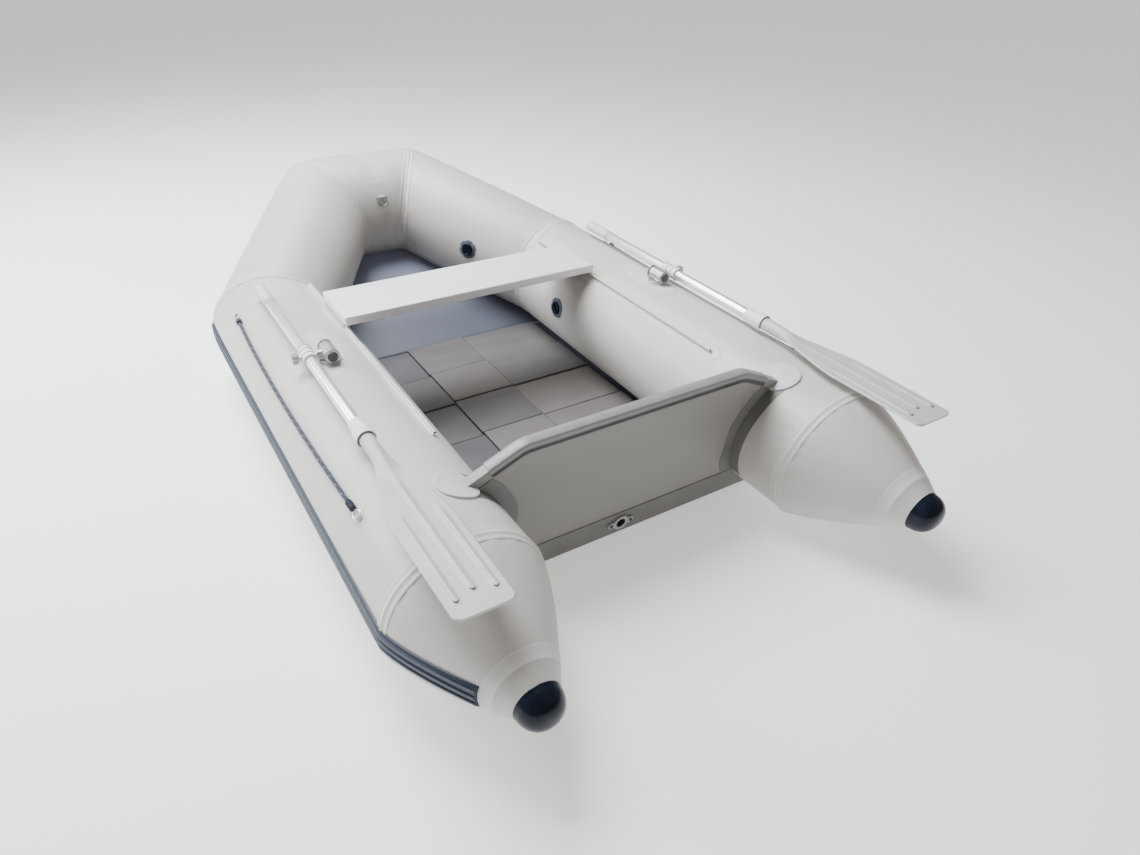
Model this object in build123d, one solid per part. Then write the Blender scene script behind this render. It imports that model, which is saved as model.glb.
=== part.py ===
from build123d import *
import math
import os

# Inflatable dinghy: two side tubes with stern cones, a mitred and raised bow, a slatted floor,
# a plywood transom, a sliding bench seat and a pair of oars on swivelling rowlocks.
# Millimetres. +X is starboard, +Y is forward, +Z is up. The origin is under the middle of the boat,
# on the surface it stands on.

# ---- Driving sizes: air tubes -------------------------------------------------------------------
TUBE_R = 173.0               # radius of every air tube
TUBE_X = 502.0               # side tube centre, off the centreline
FABRIC = 1.0                 # coated fabric thickness
TRANSOM_Y = -691.5           # aft face of the transom, at its top edge
TAPE = 1.0                   # seam tape thickness
TUBE_Z = TUBE_R + TAPE       # side tube centreline, above the ground the boat's seam tapes rest on
CROWN_Z = TUBE_Z + TUBE_R    # top of the side tubes
CONE_SEAM_Y = TRANSOM_Y - 139.0      # where the straight tube ends and the stern cone starts
CONE_LENGTH = 261.0
CONE_END_R = 46.0
CONE_RISE = 17.0             # how far the cone's end lies above the tube's centreline
CAP_LENGTH = 46.0
CAP_WALL = 3.0
BOW_SEAM_Y = TRANSOM_Y + 1165.0      # where the side tube meets the diagonal bow panel
BOW_X = 158.0                # half width of the bow's front panel, on the tube's centreline
BOW_Y = TRANSOM_Y + 1649.0
BOW_RISE = 155.0             # sheer: how far the bow's centreline lies above the side tubes'
TAPE_WIDTH = 34.0            # seam tape over each joint between panels
COLLAR_WIDTH = 58.0          # reinforcing band ahead of each stern cap

# ---- Driving sizes: rub strake --------------------------------------------------------------------
STRAKE_WIDTH = 56.0
STRAKE_BASE = 3.5
STRAKE_RIB = 3.0
STRAKE_RIB_WIDTH = 8.0
STRAKE_RIB_PITCH = 18.0

# ---- Driving sizes: floor -------------------------------------------------------------------------
SHEET = 1.2                  # bottom fabric
SHEET_Z = 5.0                # underside of the bottom fabric, on the flat part
FLOOR_FLAT_END_Y = TRANSOM_Y + 1102.0
FLOOR_SLOPE = 21.4           # degrees, of the bow part of the bottom
SLAT = 12.0                  # board thickness
SLAT_PITCH = 183.0
SLAT_ROWS = 5                # full rows; a short one fills the space ahead of the transom
SLAT_GAP = 3.0
SLAT_FORE_Y = TRANSOM_Y + 1097.0
SLAT_AFT_Y = TRANSOM_Y + 60.0
CENTRE_BOARD_WIDTH = 206.0
SIDE_BOARD_TUCK = 120.0      # outer edge of the side boards, inboard of the tube's centreline
SIDE_BOARD_WIDTH = TUBE_X - SIDE_BOARD_TUCK - CENTRE_BOARD_WIDTH / 2 - SLAT_GAP

# ---- Driving sizes: transom -----------------------------------------------------------------------
BOARD = 22.0
RAKE = 4.0                   # degrees, top edge aft
LEAN = math.radians(RAKE)
KNEE_X = TUBE_X - 205.0      # where the top edge turns down towards the tube
KNEE_Z = CROWN_Z + 43.0
TRANSOM_END_X = TUBE_X - 77.0
TRANSOM_END_DROP = 58.0
KNEE_RADIUS = 40.0
TRIM_END_X = TUBE_X - 126.0
TRIM_WALL = 3.0
TRIM_DEPTH = 22.0
BAND_HEIGHT = 68.0           # strip of bottom fabric turned up on the aft face
GUSSET_WIDTH = 32.0
GUSSET = 1.2
DISC_R = 46.0
DISC = 5.0
DISC_ANGLE = 20.7            # degrees from the tube's top, inboard
DISC_LEAD = 12.0             # disc centre, forward of the transom's top edge

# ---- Driving sizes: drain -------------------------------------------------------------------------
DRAIN_Z = 41.0               # centre of the drain, above the ground
DRAIN_BORE_R = 12.0
DRAIN_TUBE_R = DRAIN_BORE_R + 3.0
FLANGE_R = DRAIN_TUBE_R + 6.0
FLANGE = 4.0
EAR_X = FLANGE_R + 8.0
EAR_R = 9.0
DRAIN_SCREW_R = 2.0
FLANGE_LIFT = 1.5             # drain flange, off the board's face, to clear the bottom strip

# ---- Driving sizes: seat --------------------------------------------------------------------------
RAIL_ANGLE = 35.9            # degrees from the tube's top, inboard
RAIL_AFT_Y = TRANSOM_Y + 214.0
RAIL_FORE_Y = TRANSOM_Y + 1080.0
BEAD_R = 3.5
BEAD_BORE_R = 1.5
BEAD_HEIGHT = 9.5            # bead centre, above the tube's surface
BEAD_X = TUBE_X - (TUBE_R + BEAD_HEIGHT) * math.sin(math.radians(RAIL_ANGLE))
BEAD_Z = TUBE_Z + (TUBE_R + BEAD_HEIGHT) * math.cos(math.radians(RAIL_ANGLE))
SEAT_OVERHANG = 4.0          # seat's ends, outboard of the beads
SEAT_LENGTH = 2 * (BEAD_X + SEAT_OVERHANG)
SEAT_WIDTH = 185.0
SEAT_THICK = 24.0
SEAT_LIFT = 7.77             # underside, above the beads' centres
SEAT_Z = BEAD_Z + SEAT_LIFT
SEAT_Y = TRANSOM_Y + 850.0
WEB = 2.4
HOOK_CLEARANCE = 0.6
HOOK_WALL = 2.2
HOOK_LENGTH = 150.0
HOOK_PLATE_WIDTH = 52.0
SEAT_SCREW_R = 2.0

# ---- Driving sizes: oars and rowlocks ---------------------------------------------------------------
SWIVEL_Y = TRANSOM_Y + 575.0
PAD_LENGTH = 224.0
PAD_WIDTH = 84.0
PAD = 3.0
PAD_LEAD = 37.0              # pad centre, forward of the swivel
TURNTABLE_R = 27.0
BARREL_R = 19.0              # swivel head; its axis is over the tube's centreline
BARREL_LENGTH = 62.0
STEM_R = 7.0                 # swivel stem in the pad's socket
BOSS_R = 9.0                 # boss on the barrel that the oar's collar turns against
BUTTON_R = 12.5
BUTTON_THICK = 4.0
PIN_R = 4.0
SHAFT_R = 14.0               # oar tube
SHAFT_WALL = 1.5
SHAFT_AFT_Y = TRANSOM_Y + 150.0
GRIP_R = SHAFT_R + 1.6
GRIP_LENGTH = 122.0
OAR_FORE_Y = TRANSOM_Y + 1012.0
COLLAR_R = SHAFT_R + 3.4
COLLAR_LENGTH = 58.0
RIM_R = COLLAR_R + 1.6
RIM = 4.0                    # length of each rim of the collar
OAR_X = TUBE_X + BARREL_R + 13.0 + RIM_R      # oar's axis, clear of the barrel
OAR_Z = CROWN_Z + 24.0
KNOB_R = 13.0
KNOB_LENGTH = 14.0
KNOB_LOBES = 6
BLADE_TIP_Y = TRANSOM_Y - 322.0
BLADE_WIDTH = 118.0
BLADE_THICK = 6.0
BLADE_SHOULDER_Y = TRANSOM_Y - 90.0  # full width from here to the tip
NECK_R = SHAFT_R + 2.4
NECK_FORE_Y = TRANSOM_Y + 238.0
NECK_AFT_Y = TRANSOM_Y + 120.0
NOSE_LENGTH = 90.0           # the neck tapers into the blade over this length
RIB_HEIGHT = 3.0
RIB_WIDTH = 9.0
RIB_PITCH = 36.0
RIB_END_R = 6.0
CUFF_R = NECK_R + 5.6
CUFF_WALL = 2.2
CUFF_LENGTH = 48.0
CUFF_SLEEVE = 15.0
CUFF_GAP = 100.0             # degrees left open, underneath

# ---- Driving sizes: grab ropes ----------------------------------------------------------------------
ROPE_R = 5.0
ROPE_CLEARANCE = 1.5
# Route of each grab rope: distance ahead of the transom, and degrees outboard of the tube's top
ROPE_ROUTE = [(110, 46.0), (215, 47.6), (330, 48.8), (445, 49.6), (560, 49.9),
              (675, 49.6), (785, 48.8), (885, 47.5), (965, 45.8)]
WHIPPING_R = ROPE_R + 2.5
WHIPPING_LENGTH = 26.0
KNOT_R = ROPE_R + 4.5
KNOT_LENGTH = 22.0
RING_R = 10.0
RING_WIRE_R = 1.8
LOOP_HALF = 3.0              # half width of the strap loop that holds a ring
LOOP_BORE_R = 2.7
RING_PATCH_R = 16.0
PATCH = 1.2                  # thickness of small glued patches
# Each strap loop: distance ahead of the transom, degrees outboard of the tube's top, way its ring lies
RING_PLACES = [(56, 45.3, 1), (1018, 45.0, -1)]

# ---- Driving sizes: air valves and bow rings ---------------------------------------------------------
VALVE_HOLE_R = 19.0
VALVE_FLANGE_R = 32.0
VALVE_FLANGE = 3.0
VALVE_NOTCHES = 6
VALVE_BORE_R = 12.0
VALVE_DEPTH = 24.0
CAP_R = 20.0
CAP_THICK = 5.0
POPPET_R = 4.0
SIDE_VALVE_Y = TRANSOM_Y + 844.0
SIDE_VALVE_ANGLE = 85.0      # degrees from the tube's top, inboard
BOW_VALVE_SHARE = 0.42       # along the diagonal panel, from the side seam
BOW_VALVE_ANGLE = 84.0
D_ANGLE = 66.0               # degrees from the front panel's top, aft
D_BAR = 34.0                 # length of the D-ring's straight bar
D_DROP = 12.0
D_WIRE_R = 2.2
D_PATCH_R = 38.0
D_HEIGHT = 7.0               # bar centre, above the tube's surface

FIT = 0.3                    # clearance between neighbouring pieces
SNUG = 0.05                  # clearance of a turning or sliding fit
BIG = 3000.0

# ---- Framework: tube centrelines --------------------------------------------------------------------
CONE_END = Vector(TUBE_X, CONE_SEAM_Y - CONE_LENGTH, TUBE_Z + CONE_RISE)
CONE_START = Vector(TUBE_X, CONE_SEAM_Y, TUBE_Z)
BEND = Vector(TUBE_X, BOW_SEAM_Y, TUBE_Z)
FRONT = Vector(BOW_X, BOW_Y, TUBE_Z + BOW_RISE)
SIDE_DIR = Vector(0, 1, 0)
DIAGONAL_DIR = (FRONT - BEND).normalized()
FRONT_DIR = Vector(-1, 0, 0)
BEND_MITRE = (SIDE_DIR + DIAGONAL_DIR).normalized()
FRONT_MITRE = (DIAGONAL_DIR + FRONT_DIR).normalized()

RISING = (Align.CENTER, Align.CENTER, Align.MIN)     # a primitive standing on its drawing plane

parts = {}


def keep(name, *shapes):
    """File the piece, or the group of like pieces, under its name."""
    solids = [solid for shape in shapes for solid in shape.solids()]
    parts[name] = solids[0] if len(solids) == 1 else Compound(children=solids)


def port(shape):
    """The port copy of a starboard piece."""
    return shape.mirror(Plane.YZ)


def both(name, shape):
    """File a handed pair as two pieces."""
    keep("starboard_" + name, shape)
    keep("port_" + name, port(shape))


def rod(start, end, radius):
    """A solid round bar between two points."""
    start, end = Vector(start), Vector(end)
    place = Plane(origin=start, z_dir=end - start)
    return place * Cylinder(radius, (end - start).length, align=RISING)


def beyond(origin, normal):
    """Everything on the side of a plane that its normal points to."""
    return Plane(origin=origin, z_dir=normal) * Box(BIG, BIG, BIG, align=RISING)


def athwart(y):
    """A drawing plane across the boat, seen looking forward: local x is X and local y is Z."""
    return Plane.XZ.offset(-y)


def slab(y0, y1):
    """A block across the whole boat between two stations."""
    return Pos(0, (y0 + y1) / 2, 0) * Box(BIG, y1 - y0, BIG)


def block(low, high):
    """A box from its low corner to its high corner."""
    size = [b - a for a, b in zip(low, high)]
    return Pos(*low) * Box(*size, align=(Align.MIN, Align.MIN, Align.MIN))


def largest(shape):
    return max(shape.solids(), key=lambda solid: solid.volume)


# ---- Air tubes -------------------------------------------------------------------------------------
def cone_form(off, tail=0.0):
    """The stern cone, with its surface moved out by off."""
    big = athwart(CONE_START.Y) * Pos(CONE_START.X, CONE_START.Z) * Circle(TUBE_R + off)
    small = athwart(CONE_END.Y) * Pos(CONE_END.X, CONE_END.Z) * Circle(CONE_END_R + off)
    form = loft([big, small], ruled=True)
    if tail:
        form += rod(CONE_END, CONE_END - SIDE_DIR * tail, CONE_END_R + off)
    return form


def straight_form(off, y0=CONE_START.Y, y1=BEND.Y + 250):
    """The straight side tube between two stations, not yet mitred."""
    return rod((TUBE_X, y0, TUBE_Z), (TUBE_X, y1, TUBE_Z), TUBE_R + off)


def side_form(off, tail=0.0):
    return (straight_form(off) & beyond(BEND, -BEND_MITRE)) + cone_form(off, tail)


def diagonal_form(off):
    long_bar = rod(BEND - DIAGONAL_DIR * 250, FRONT + DIAGONAL_DIR * 250, TUBE_R + off)
    return long_bar & beyond(BEND, BEND_MITRE) & beyond(FRONT, -FRONT_MITRE)


def front_form(off):
    """The whole front panel, both mitres cut."""
    bar = rod((BOW_X + 250, FRONT.Y, FRONT.Z), (-BOW_X - 250, FRONT.Y, FRONT.Z), TUBE_R + off)
    mirrored = Vector(-FRONT_MITRE.X, FRONT_MITRE.Y, FRONT_MITRE.Z)
    return bar & beyond(FRONT, FRONT_MITRE) & beyond((-BOW_X, FRONT.Y, FRONT.Z), mirrored)


def bow_form(off):
    diagonal = diagonal_form(off)
    return front_form(off) + diagonal + port(diagonal)


def around_tube(angle, radius, y, side=1):
    """A point beside the side tube: angle in degrees from its top, inboard positive."""
    turn = math.radians(angle)
    return Vector(side * (TUBE_X - radius * math.sin(turn)), y, TUBE_Z + radius * math.cos(turn))


def valve_seats():
    """Centre on the tube's surface and outward direction of each of the three air valves."""
    turn = math.radians(SIDE_VALVE_ANGLE)
    out = Vector(-math.sin(turn), 0, math.cos(turn))
    side = Vector(TUBE_X, SIDE_VALVE_Y, TUBE_Z) + out * TUBE_R
    inward = DIAGONAL_DIR.cross(Vector(0, 0, 1)).normalized() * -1
    upward = inward.cross(DIAGONAL_DIR).normalized()
    upward = upward if upward.Z > 0 else upward * -1
    lean = math.radians(BOW_VALVE_ANGLE)
    bow_out = (inward * math.sin(lean) + upward * math.cos(lean)).normalized()
    bow = BEND + (FRONT - BEND) * BOW_VALVE_SHARE + bow_out * TUBE_R
    return {"starboard": (side, out),
            "port": (Vector(-side.X, side.Y, side.Z), Vector(-out.X, out.Y, out.Z)),
            "bow": (bow, bow_out)}


VALVES = valve_seats()


def valve_hole(name):
    seat, out = VALVES[name]
    return rod(seat - out * 40, seat + out * 40, VALVE_HOLE_R + FIT)


def make_tubes():
    side = side_form(0) - side_form(-FABRIC, tail=5)
    keep("starboard_side_tube", side - valve_hole("starboard"))
    keep("port_side_tube", port(side) - valve_hole("port"))
    keep("bow_tube", bow_form(0) - bow_form(-FABRIC) - valve_hole("bow"))
    disc = straight_form(-FABRIC - FIT, y0=BEND.Y - 300)
    disc = disc & beyond(BEND - BEND_MITRE * (1 + FABRIC), BEND_MITRE)
    disc = disc & beyond(BEND - BEND_MITRE, -BEND_MITRE)
    keep("chamber_baffles", disc, port(disc))


def make_stern_caps():
    """Moulded cap: a domed shell whose rim meets the cone's end and whose spigot plugs it."""
    def dome(radius, length):
        crown = (0.2 * radius, 0.97 * length)
        shoulder = ThreePointArc((radius, 0), (0.84 * radius, 0.58 * length), crown)
        base = Polyline((0, length), (0, 0), (radius, 0))
        return make_face(base + shoulder + Line(crown, (0, length)))

    spigot_r = CONE_END_R - 3
    spigot = Pos(spigot_r - CAP_WALL / 2, -8) * Rectangle(CAP_WALL, 28)
    wall = Pos(CONE_END_R - 4, 1.5) * Rectangle(8, 3)
    hollow = dome(CONE_END_R - CAP_WALL, CAP_LENGTH - CAP_WALL - 1)
    profile = dome(CONE_END_R + 1, CAP_LENGTH) - hollow + spigot + wall
    place = Plane(origin=CONE_END - SIDE_DIR * FIT, x_dir=(1, 0, 0), z_dir=(0, 0, -1))
    cap = place * revolve(profile, Axis.Y)
    both("stern_cap", cap)


def make_tapes():
    """Fabric bands over the panel joints, and the wide band ahead of each stern cap."""
    half = TAPE_WIDTH / 2
    cone_band = side_form(TAPE) - side_form(0)
    cone_band = cone_band & slab(CONE_SEAM_Y - half, CONE_SEAM_Y + half)
    collar = (cone_form(TAPE) - cone_form(0)) & slab(CONE_END.Y, CONE_END.Y + COLLAR_WIDTH)
    outer = (straight_form(TAPE) & beyond(BEND, -BEND_MITRE)) + diagonal_form(TAPE)
    inner = (straight_form(0) & beyond(BEND, -BEND_MITRE)) + diagonal_form(0)
    bend_band = outer - inner
    bend_band = bend_band & beyond(BEND - BEND_MITRE * half, BEND_MITRE)
    bend_band = bend_band & beyond(BEND + BEND_MITRE * half, -BEND_MITRE)
    front_band = bow_form(TAPE) - bow_form(0)
    front_band = front_band & beyond(FRONT - FRONT_MITRE * half, FRONT_MITRE)
    front_band = largest(front_band & beyond(FRONT + FRONT_MITRE * half, -FRONT_MITRE))
    bands = [cone_band, bend_band, front_band]
    bands.append(collar)
    keep("seam_tapes", *bands, *[port(band) for band in bands])


# ---- Rub strake --------------------------------------------------------------------------------------
def turned(direction, start, end):
    """The direction carried round a bend from one centreline direction to the next."""
    axis = start.cross(end)
    return direction.rotate(Axis((0, 0, 0), axis), start.get_angle(end))


def strip(offset, width, height):
    """A starboard band along the tubes' widest line: its middle lies offset above that line."""
    inner = TAPE + 0.5
    side_box = block((TUBE_X, CONE_SEAM_Y, TUBE_Z + offset - width / 2),
                     (TUBE_X + 300, BEND.Y + 300, TUBE_Z + offset + width / 2))
    side = (straight_form(inner + height) - straight_form(inner)) & side_box
    side = side & beyond(BEND, -BEND_MITRE)
    aft_y = CONE_END.Y + COLLAR_WIDTH + 2
    aft_z = TUBE_Z + CONE_RISE * (CONE_SEAM_Y - aft_y) / CONE_LENGTH
    edge = [(aft_y, aft_z + offset - width / 2), (CONE_SEAM_Y, TUBE_Z + offset - width / 2),
            (CONE_SEAM_Y, TUBE_Z + offset + width / 2), (aft_y, aft_z + offset + width / 2)]
    prism = extrude(Plane.YZ.offset(TUBE_X) * make_face(Polyline(*edge, close=True)), 300)
    stern = (cone_form(inner + height) - cone_form(inner)) & prism
    out_diagonal = turned(Vector(1, 0, 0), SIDE_DIR, DIAGONAL_DIR)
    out_front = turned(out_diagonal, DIAGONAL_DIR, FRONT_DIR)
    outward = Pos(0, offset, 0) * Box(300, width, BIG, align=(Align.MIN, Align.CENTER, Align.CENTER))
    diagonal_box = Plane(origin=BEND, x_dir=out_diagonal, z_dir=DIAGONAL_DIR) * outward
    diagonal = (diagonal_form(inner + height) - diagonal_form(inner)) & diagonal_box
    front_box = Plane(origin=FRONT, x_dir=out_front, z_dir=FRONT_DIR) * outward
    front = (front_form(inner + height) - front_form(inner)) & front_box
    front = front & beyond((FIT / 2, 0, 0), (1, 0, 0))
    return stern + side + diagonal + front


def make_strakes():
    strake = strip(0, STRAKE_WIDTH, STRAKE_BASE)
    for step in (-1, 0, 1):
        strake = strake + strip(step * STRAKE_RIB_PITCH, STRAKE_RIB_WIDTH, STRAKE_BASE + STRAKE_RIB)
    both("rub_strake", strake)


# ---- Floor -------------------------------------------------------------------------------------------
def tubes_clearance(gap):
    """All air tubes, swollen by a gap, to trim what lies between them."""
    side = side_form(gap)
    return [side, port(side), bow_form(gap)]


def trim_to_tubes(shape, gap):
    for tube in tubes_clearance(gap):
        shape = shape - tube
    return largest(shape)


def make_floor():
    slope = math.tan(math.radians(FLOOR_SLOPE))
    aft = TRANSOM_Y + math.tan(LEAN) * KNEE_Z
    lift = (BOW_Y - FLOOR_FLAT_END_Y) * slope
    half = TUBE_X - 30
    flat = block((-half, aft, SHEET_Z), (half, FLOOR_FLAT_END_Y, SHEET_Z + SHEET))
    rising = [(FLOOR_FLAT_END_Y, SHEET_Z), (BOW_Y, SHEET_Z + lift),
              (BOW_Y, SHEET_Z + lift + SHEET), (FLOOR_FLAT_END_Y, SHEET_Z + SHEET)]
    ramp = extrude(Plane.YZ.offset(-half) * make_face(Polyline(*rising, close=True)), 2 * half)
    keep("bottom_fabric", trim_to_tubes(flat, TAPE + FIT))
    keep("bow_bottom_fabric", trim_to_tubes(ramp, TAPE + FIT))
    bottom = SHEET_Z + SHEET + FIT
    side_x = CENTRE_BOARD_WIDTH / 2 + SLAT_GAP
    columns = {"port": -side_x - SIDE_BOARD_WIDTH, "centre": -CENTRE_BOARD_WIDTH / 2, "starboard": side_x}
    for name, x in columns.items():
        width = CENTRE_BOARD_WIDTH if name == "centre" else SIDE_BOARD_WIDTH
        boards = []
        for row in range(SLAT_ROWS + 1):
            fore = SLAT_FORE_Y - row * SLAT_PITCH
            aft = fore - SLAT_PITCH + SLAT_GAP if row < SLAT_ROWS else SLAT_AFT_Y
            board = block((x, aft, bottom), (x + width, fore, bottom + SLAT))
            boards.append(fillet(board.edges().filter_by(Axis.Z), 5))
        keep("floor_slats_" + name, *boards)


# ---- Transom -----------------------------------------------------------------------------------------
AFT = Vector(0, -math.cos(LEAN), -math.sin(LEAN))
TRANSOM = Plane(origin=(0, TRANSOM_Y, KNEE_Z), x_dir=(1, 0, 0), z_dir=AFT)


def down(z):
    """Distance down the transom's face, as a local height, for a height above the ground."""
    return (z - KNEE_Z) / math.cos(LEAN)


def transom_outline(out=0.0, bottom=SHEET_Z + SHEET + FIT):
    """The board's outline; out moves its top edge up."""
    fall = TRANSOM_END_DROP / (TRANSOM_END_X - KNEE_X)
    knee = KNEE_X + out * fall / 2
    foot_x = TUBE_X - 40
    right = [(foot_x, down(bottom)), (foot_x, down(290)),
             (TRANSOM_END_X, out - TRANSOM_END_DROP), (knee, out)]
    left = [(-x, height) for x, height in reversed(right)]
    outline = make_face(Polyline(*right, *left, close=True))
    knees = [v for v in outline.vertices() if abs(v.Y - out) < 0.01]
    return fillet(knees, KNEE_RADIUS + out)


def board_slab(sketch, aft, fore):
    """A sketch on the transom's aft face, made solid from aft millimetres behind it to fore ahead."""
    return TRANSOM * Pos(0, 0, -fore) * extrude(sketch, aft + fore)


def drain_axis(depth):
    """A point on the drain's axis, depth millimetres forward of the transom's aft face."""
    return TRANSOM.from_local_coords(Vector(0, down(DRAIN_Z), -depth))


def make_transom():
    gap = GUSSET + FIT
    side = straight_form(gap, y0=CONE_SEAM_Y, y1=0)
    bore = rod(drain_axis(-30), drain_axis(60), DRAIN_TUBE_R + FIT)
    ears = [Vector(x, 0, 0) for x in (-EAR_X, EAR_X)]
    screw_holes = [rod(drain_axis(-5) + ear, drain_axis(16) + ear, DRAIN_SCREW_R + SNUG) for ear in ears]
    board = board_slab(transom_outline(), 0, BOARD) - side - port(side) - bore
    for hole in screw_holes:
        board = board - hole
    board = largest(board)
    keep("transom_board", board)

    above = Rectangle(2 * TRIM_END_X, 400)
    cover = board_slab(transom_outline(out=4) & above, TRIM_WALL, BOARD + TRIM_WALL)
    below = board_slab(Pos(0, -TRIM_DEPTH) * transom_outline(out=4), TRIM_WALL + 1, BOARD + TRIM_WALL + 1)
    solid_board = board_slab(transom_outline(out=FIT), FIT, BOARD + FIT)
    keep("transom_trim", largest(cover - below - solid_board))

    band_middle = down(SHEET_Z + SHEET + FIT + BAND_HEIGHT / 2)
    band_zone = Pos(0, band_middle) * Rectangle(2 * TUBE_X, BAND_HEIGHT)
    band = board_slab(transom_outline() & band_zone, FLANGE_LIFT + FIT, -FIT) - side - port(side) - bore
    for hole in screw_holes:
        band = band - hole
    keep("transom_bottom_band", largest(band))


def make_gussets():
    """Folded fabric strips that glue the board's ends to the tubes, aft and forward."""
    disc_y = TRANSOM_Y + DISC_LEAD
    disc_post = rod(around_tube(DISC_ANGLE, 0, disc_y), around_tube(DISC_ANGLE, 400, disc_y), DISC_R + 2)
    strips = []
    bead_zone = straight_form(GUSSET + FIT + GUSSET_WIDTH, y1=0) - straight_form(GUSSET + FIT, y1=0)
    skin = straight_form(GUSSET, y1=0) - straight_form(0, y1=0)
    reach = TUBE_R + 27
    for aft, low in ((True, 8.0 + BAND_HEIGHT), (False, 22.0)):
        face = (GUSSET + FIT, -FIT) if aft else (-BOARD - FIT, BOARD + FIT + GUSSET)
        tube_face = (GUSSET_WIDTH, -FIT) if aft else (-BOARD - FIT, BOARD + GUSSET_WIDTH)
        height = Pos(0, down(low) / 2) * Rectangle(2 * TUBE_X + 400, -down(low))
        inboard = Pos(TUBE_X - reach / 2, 0) * Rectangle(reach, 900)
        on_board = board_slab(inboard & height & transom_outline(out=-TRIM_DEPTH - 4), *face) & bead_zone
        on_tube = board_slab(Pos(-12, 0) * inboard & height, *tube_face) & skin
        thicker_skin = straight_form(GUSSET + FIT, y1=0) - straight_form(0, y1=0)
        join = board_slab(inboard & height, *face) & thicker_skin
        strips.append(largest(on_board + on_tube + join - disc_post))
    keep("transom_gussets", *strips, *[port(strip_) for strip_ in strips])


def make_discs():
    """Round welded pads over the transom's top corners."""
    disc_y = TRANSOM_Y + DISC_LEAD
    post = rod(around_tube(DISC_ANGLE, 0, disc_y), around_tube(DISC_ANGLE, 400, disc_y), DISC_R)
    disc = (straight_form(DISC, y1=0) - straight_form(0, y1=0)) & post
    notch = board_slab(transom_outline(out=2), 2, BOARD + 2)
    disc = largest(disc - notch)
    keep("transom_corner_discs", disc, port(disc))


def make_drain():
    flange = Circle(FLANGE_R) + SlotOverall(2 * (EAR_X + EAR_R), 2 * EAR_R)
    start = FLANGE_LIFT + 2 * FIT
    local = Pos(0, down(DRAIN_Z))
    body = TRANSOM * local * Pos(0, 0, start) * extrude(flange, FLANGE)
    body = body + rod(drain_axis(-start), drain_axis(BOARD + 3), DRAIN_TUBE_R)
    body = body - rod(drain_axis(-start - FLANGE - 5), drain_axis(BOARD + 5), DRAIN_BORE_R)
    screws = []
    for x in (-EAR_X, EAR_X):
        shift = Vector(x, 0, 0)
        hole = rod(drain_axis(-start - FLANGE - 1) + shift, drain_axis(0) + shift, DRAIN_SCREW_R + SNUG)
        body = body - hole
        head_base = -start - FLANGE - FIT
        shank = rod(drain_axis(head_base) + shift, drain_axis(14) + shift, DRAIN_SCREW_R)
        head = rod(drain_axis(head_base - 2.4) + shift, drain_axis(head_base) + shift, 4.2)
        slot = TRANSOM * Pos(x, down(DRAIN_Z), -head_base + 2.4) * Box(1.2, 10, 2.0)
        screws.append(head + shank - slot)
    keep("drain_body", body)
    keep("drain_screws", *screws)
    stopper = rod(drain_axis(BOARD - 10), drain_axis(BOARD + 3 + FIT), DRAIN_BORE_R - SNUG)
    stopper = stopper + rod(drain_axis(BOARD + 3 + FIT), drain_axis(BOARD + 8), DRAIN_TUBE_R + 1)
    handle = rod(drain_axis(BOARD + 8), drain_axis(BOARD + 16), 4.5)
    grip = rod(drain_axis(BOARD + 16), drain_axis(BOARD + 19), 10)
    keep("drain_plug", stopper + handle + grip)


# ---- Seat --------------------------------------------------------------------------------------------
def rail_sketch(*shapes):
    """Shapes drawn upright over the tube's centre, leaned inboard to the rail's place."""
    return [Pos(TUBE_X, TUBE_Z) * Rot(0, 0, RAIL_ANGLE) * shape for shape in shapes]


def along(sketch, y0, y1):
    """A sketch across the boat made solid between two stations."""
    return extrude(athwart(y1) * sketch, y1 - y0)


def make_rails():
    """Both seat rails; gives back the two rounded pads at their aft ends."""
    bead_at = TUBE_R + BEAD_HEIGHT
    skin = Circle(TUBE_R + 1.5) - Circle(TUBE_R)
    flange = skin & Pos(0, TUBE_R) * Rectangle(40, 60)
    web = Pos(0, TUBE_R + BEAD_HEIGHT / 2 + 0.5) * Rectangle(WEB, BEAD_HEIGHT - 1)
    profile = flange + web + Pos(0, bead_at) * Circle(BEAD_R)
    profile = profile - Pos(0, bead_at) * Circle(BEAD_BORE_R)
    rail = along(rail_sketch(profile)[0], RAIL_AFT_Y, RAIL_FORE_Y)
    seat = around_tube(RAIL_ANGLE, 0, RAIL_AFT_Y - FIT)
    tongue = rod(seat, around_tube(RAIL_ANGLE, 400, RAIL_AFT_Y - FIT), 34)
    pad = (straight_form(PATCH, y1=0) - straight_form(0, y1=0)) & tongue
    pad = pad & slab(RAIL_AFT_Y - 60, RAIL_AFT_Y - FIT)
    both("seat_rail", rail)
    return [pad, port(pad)]


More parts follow.
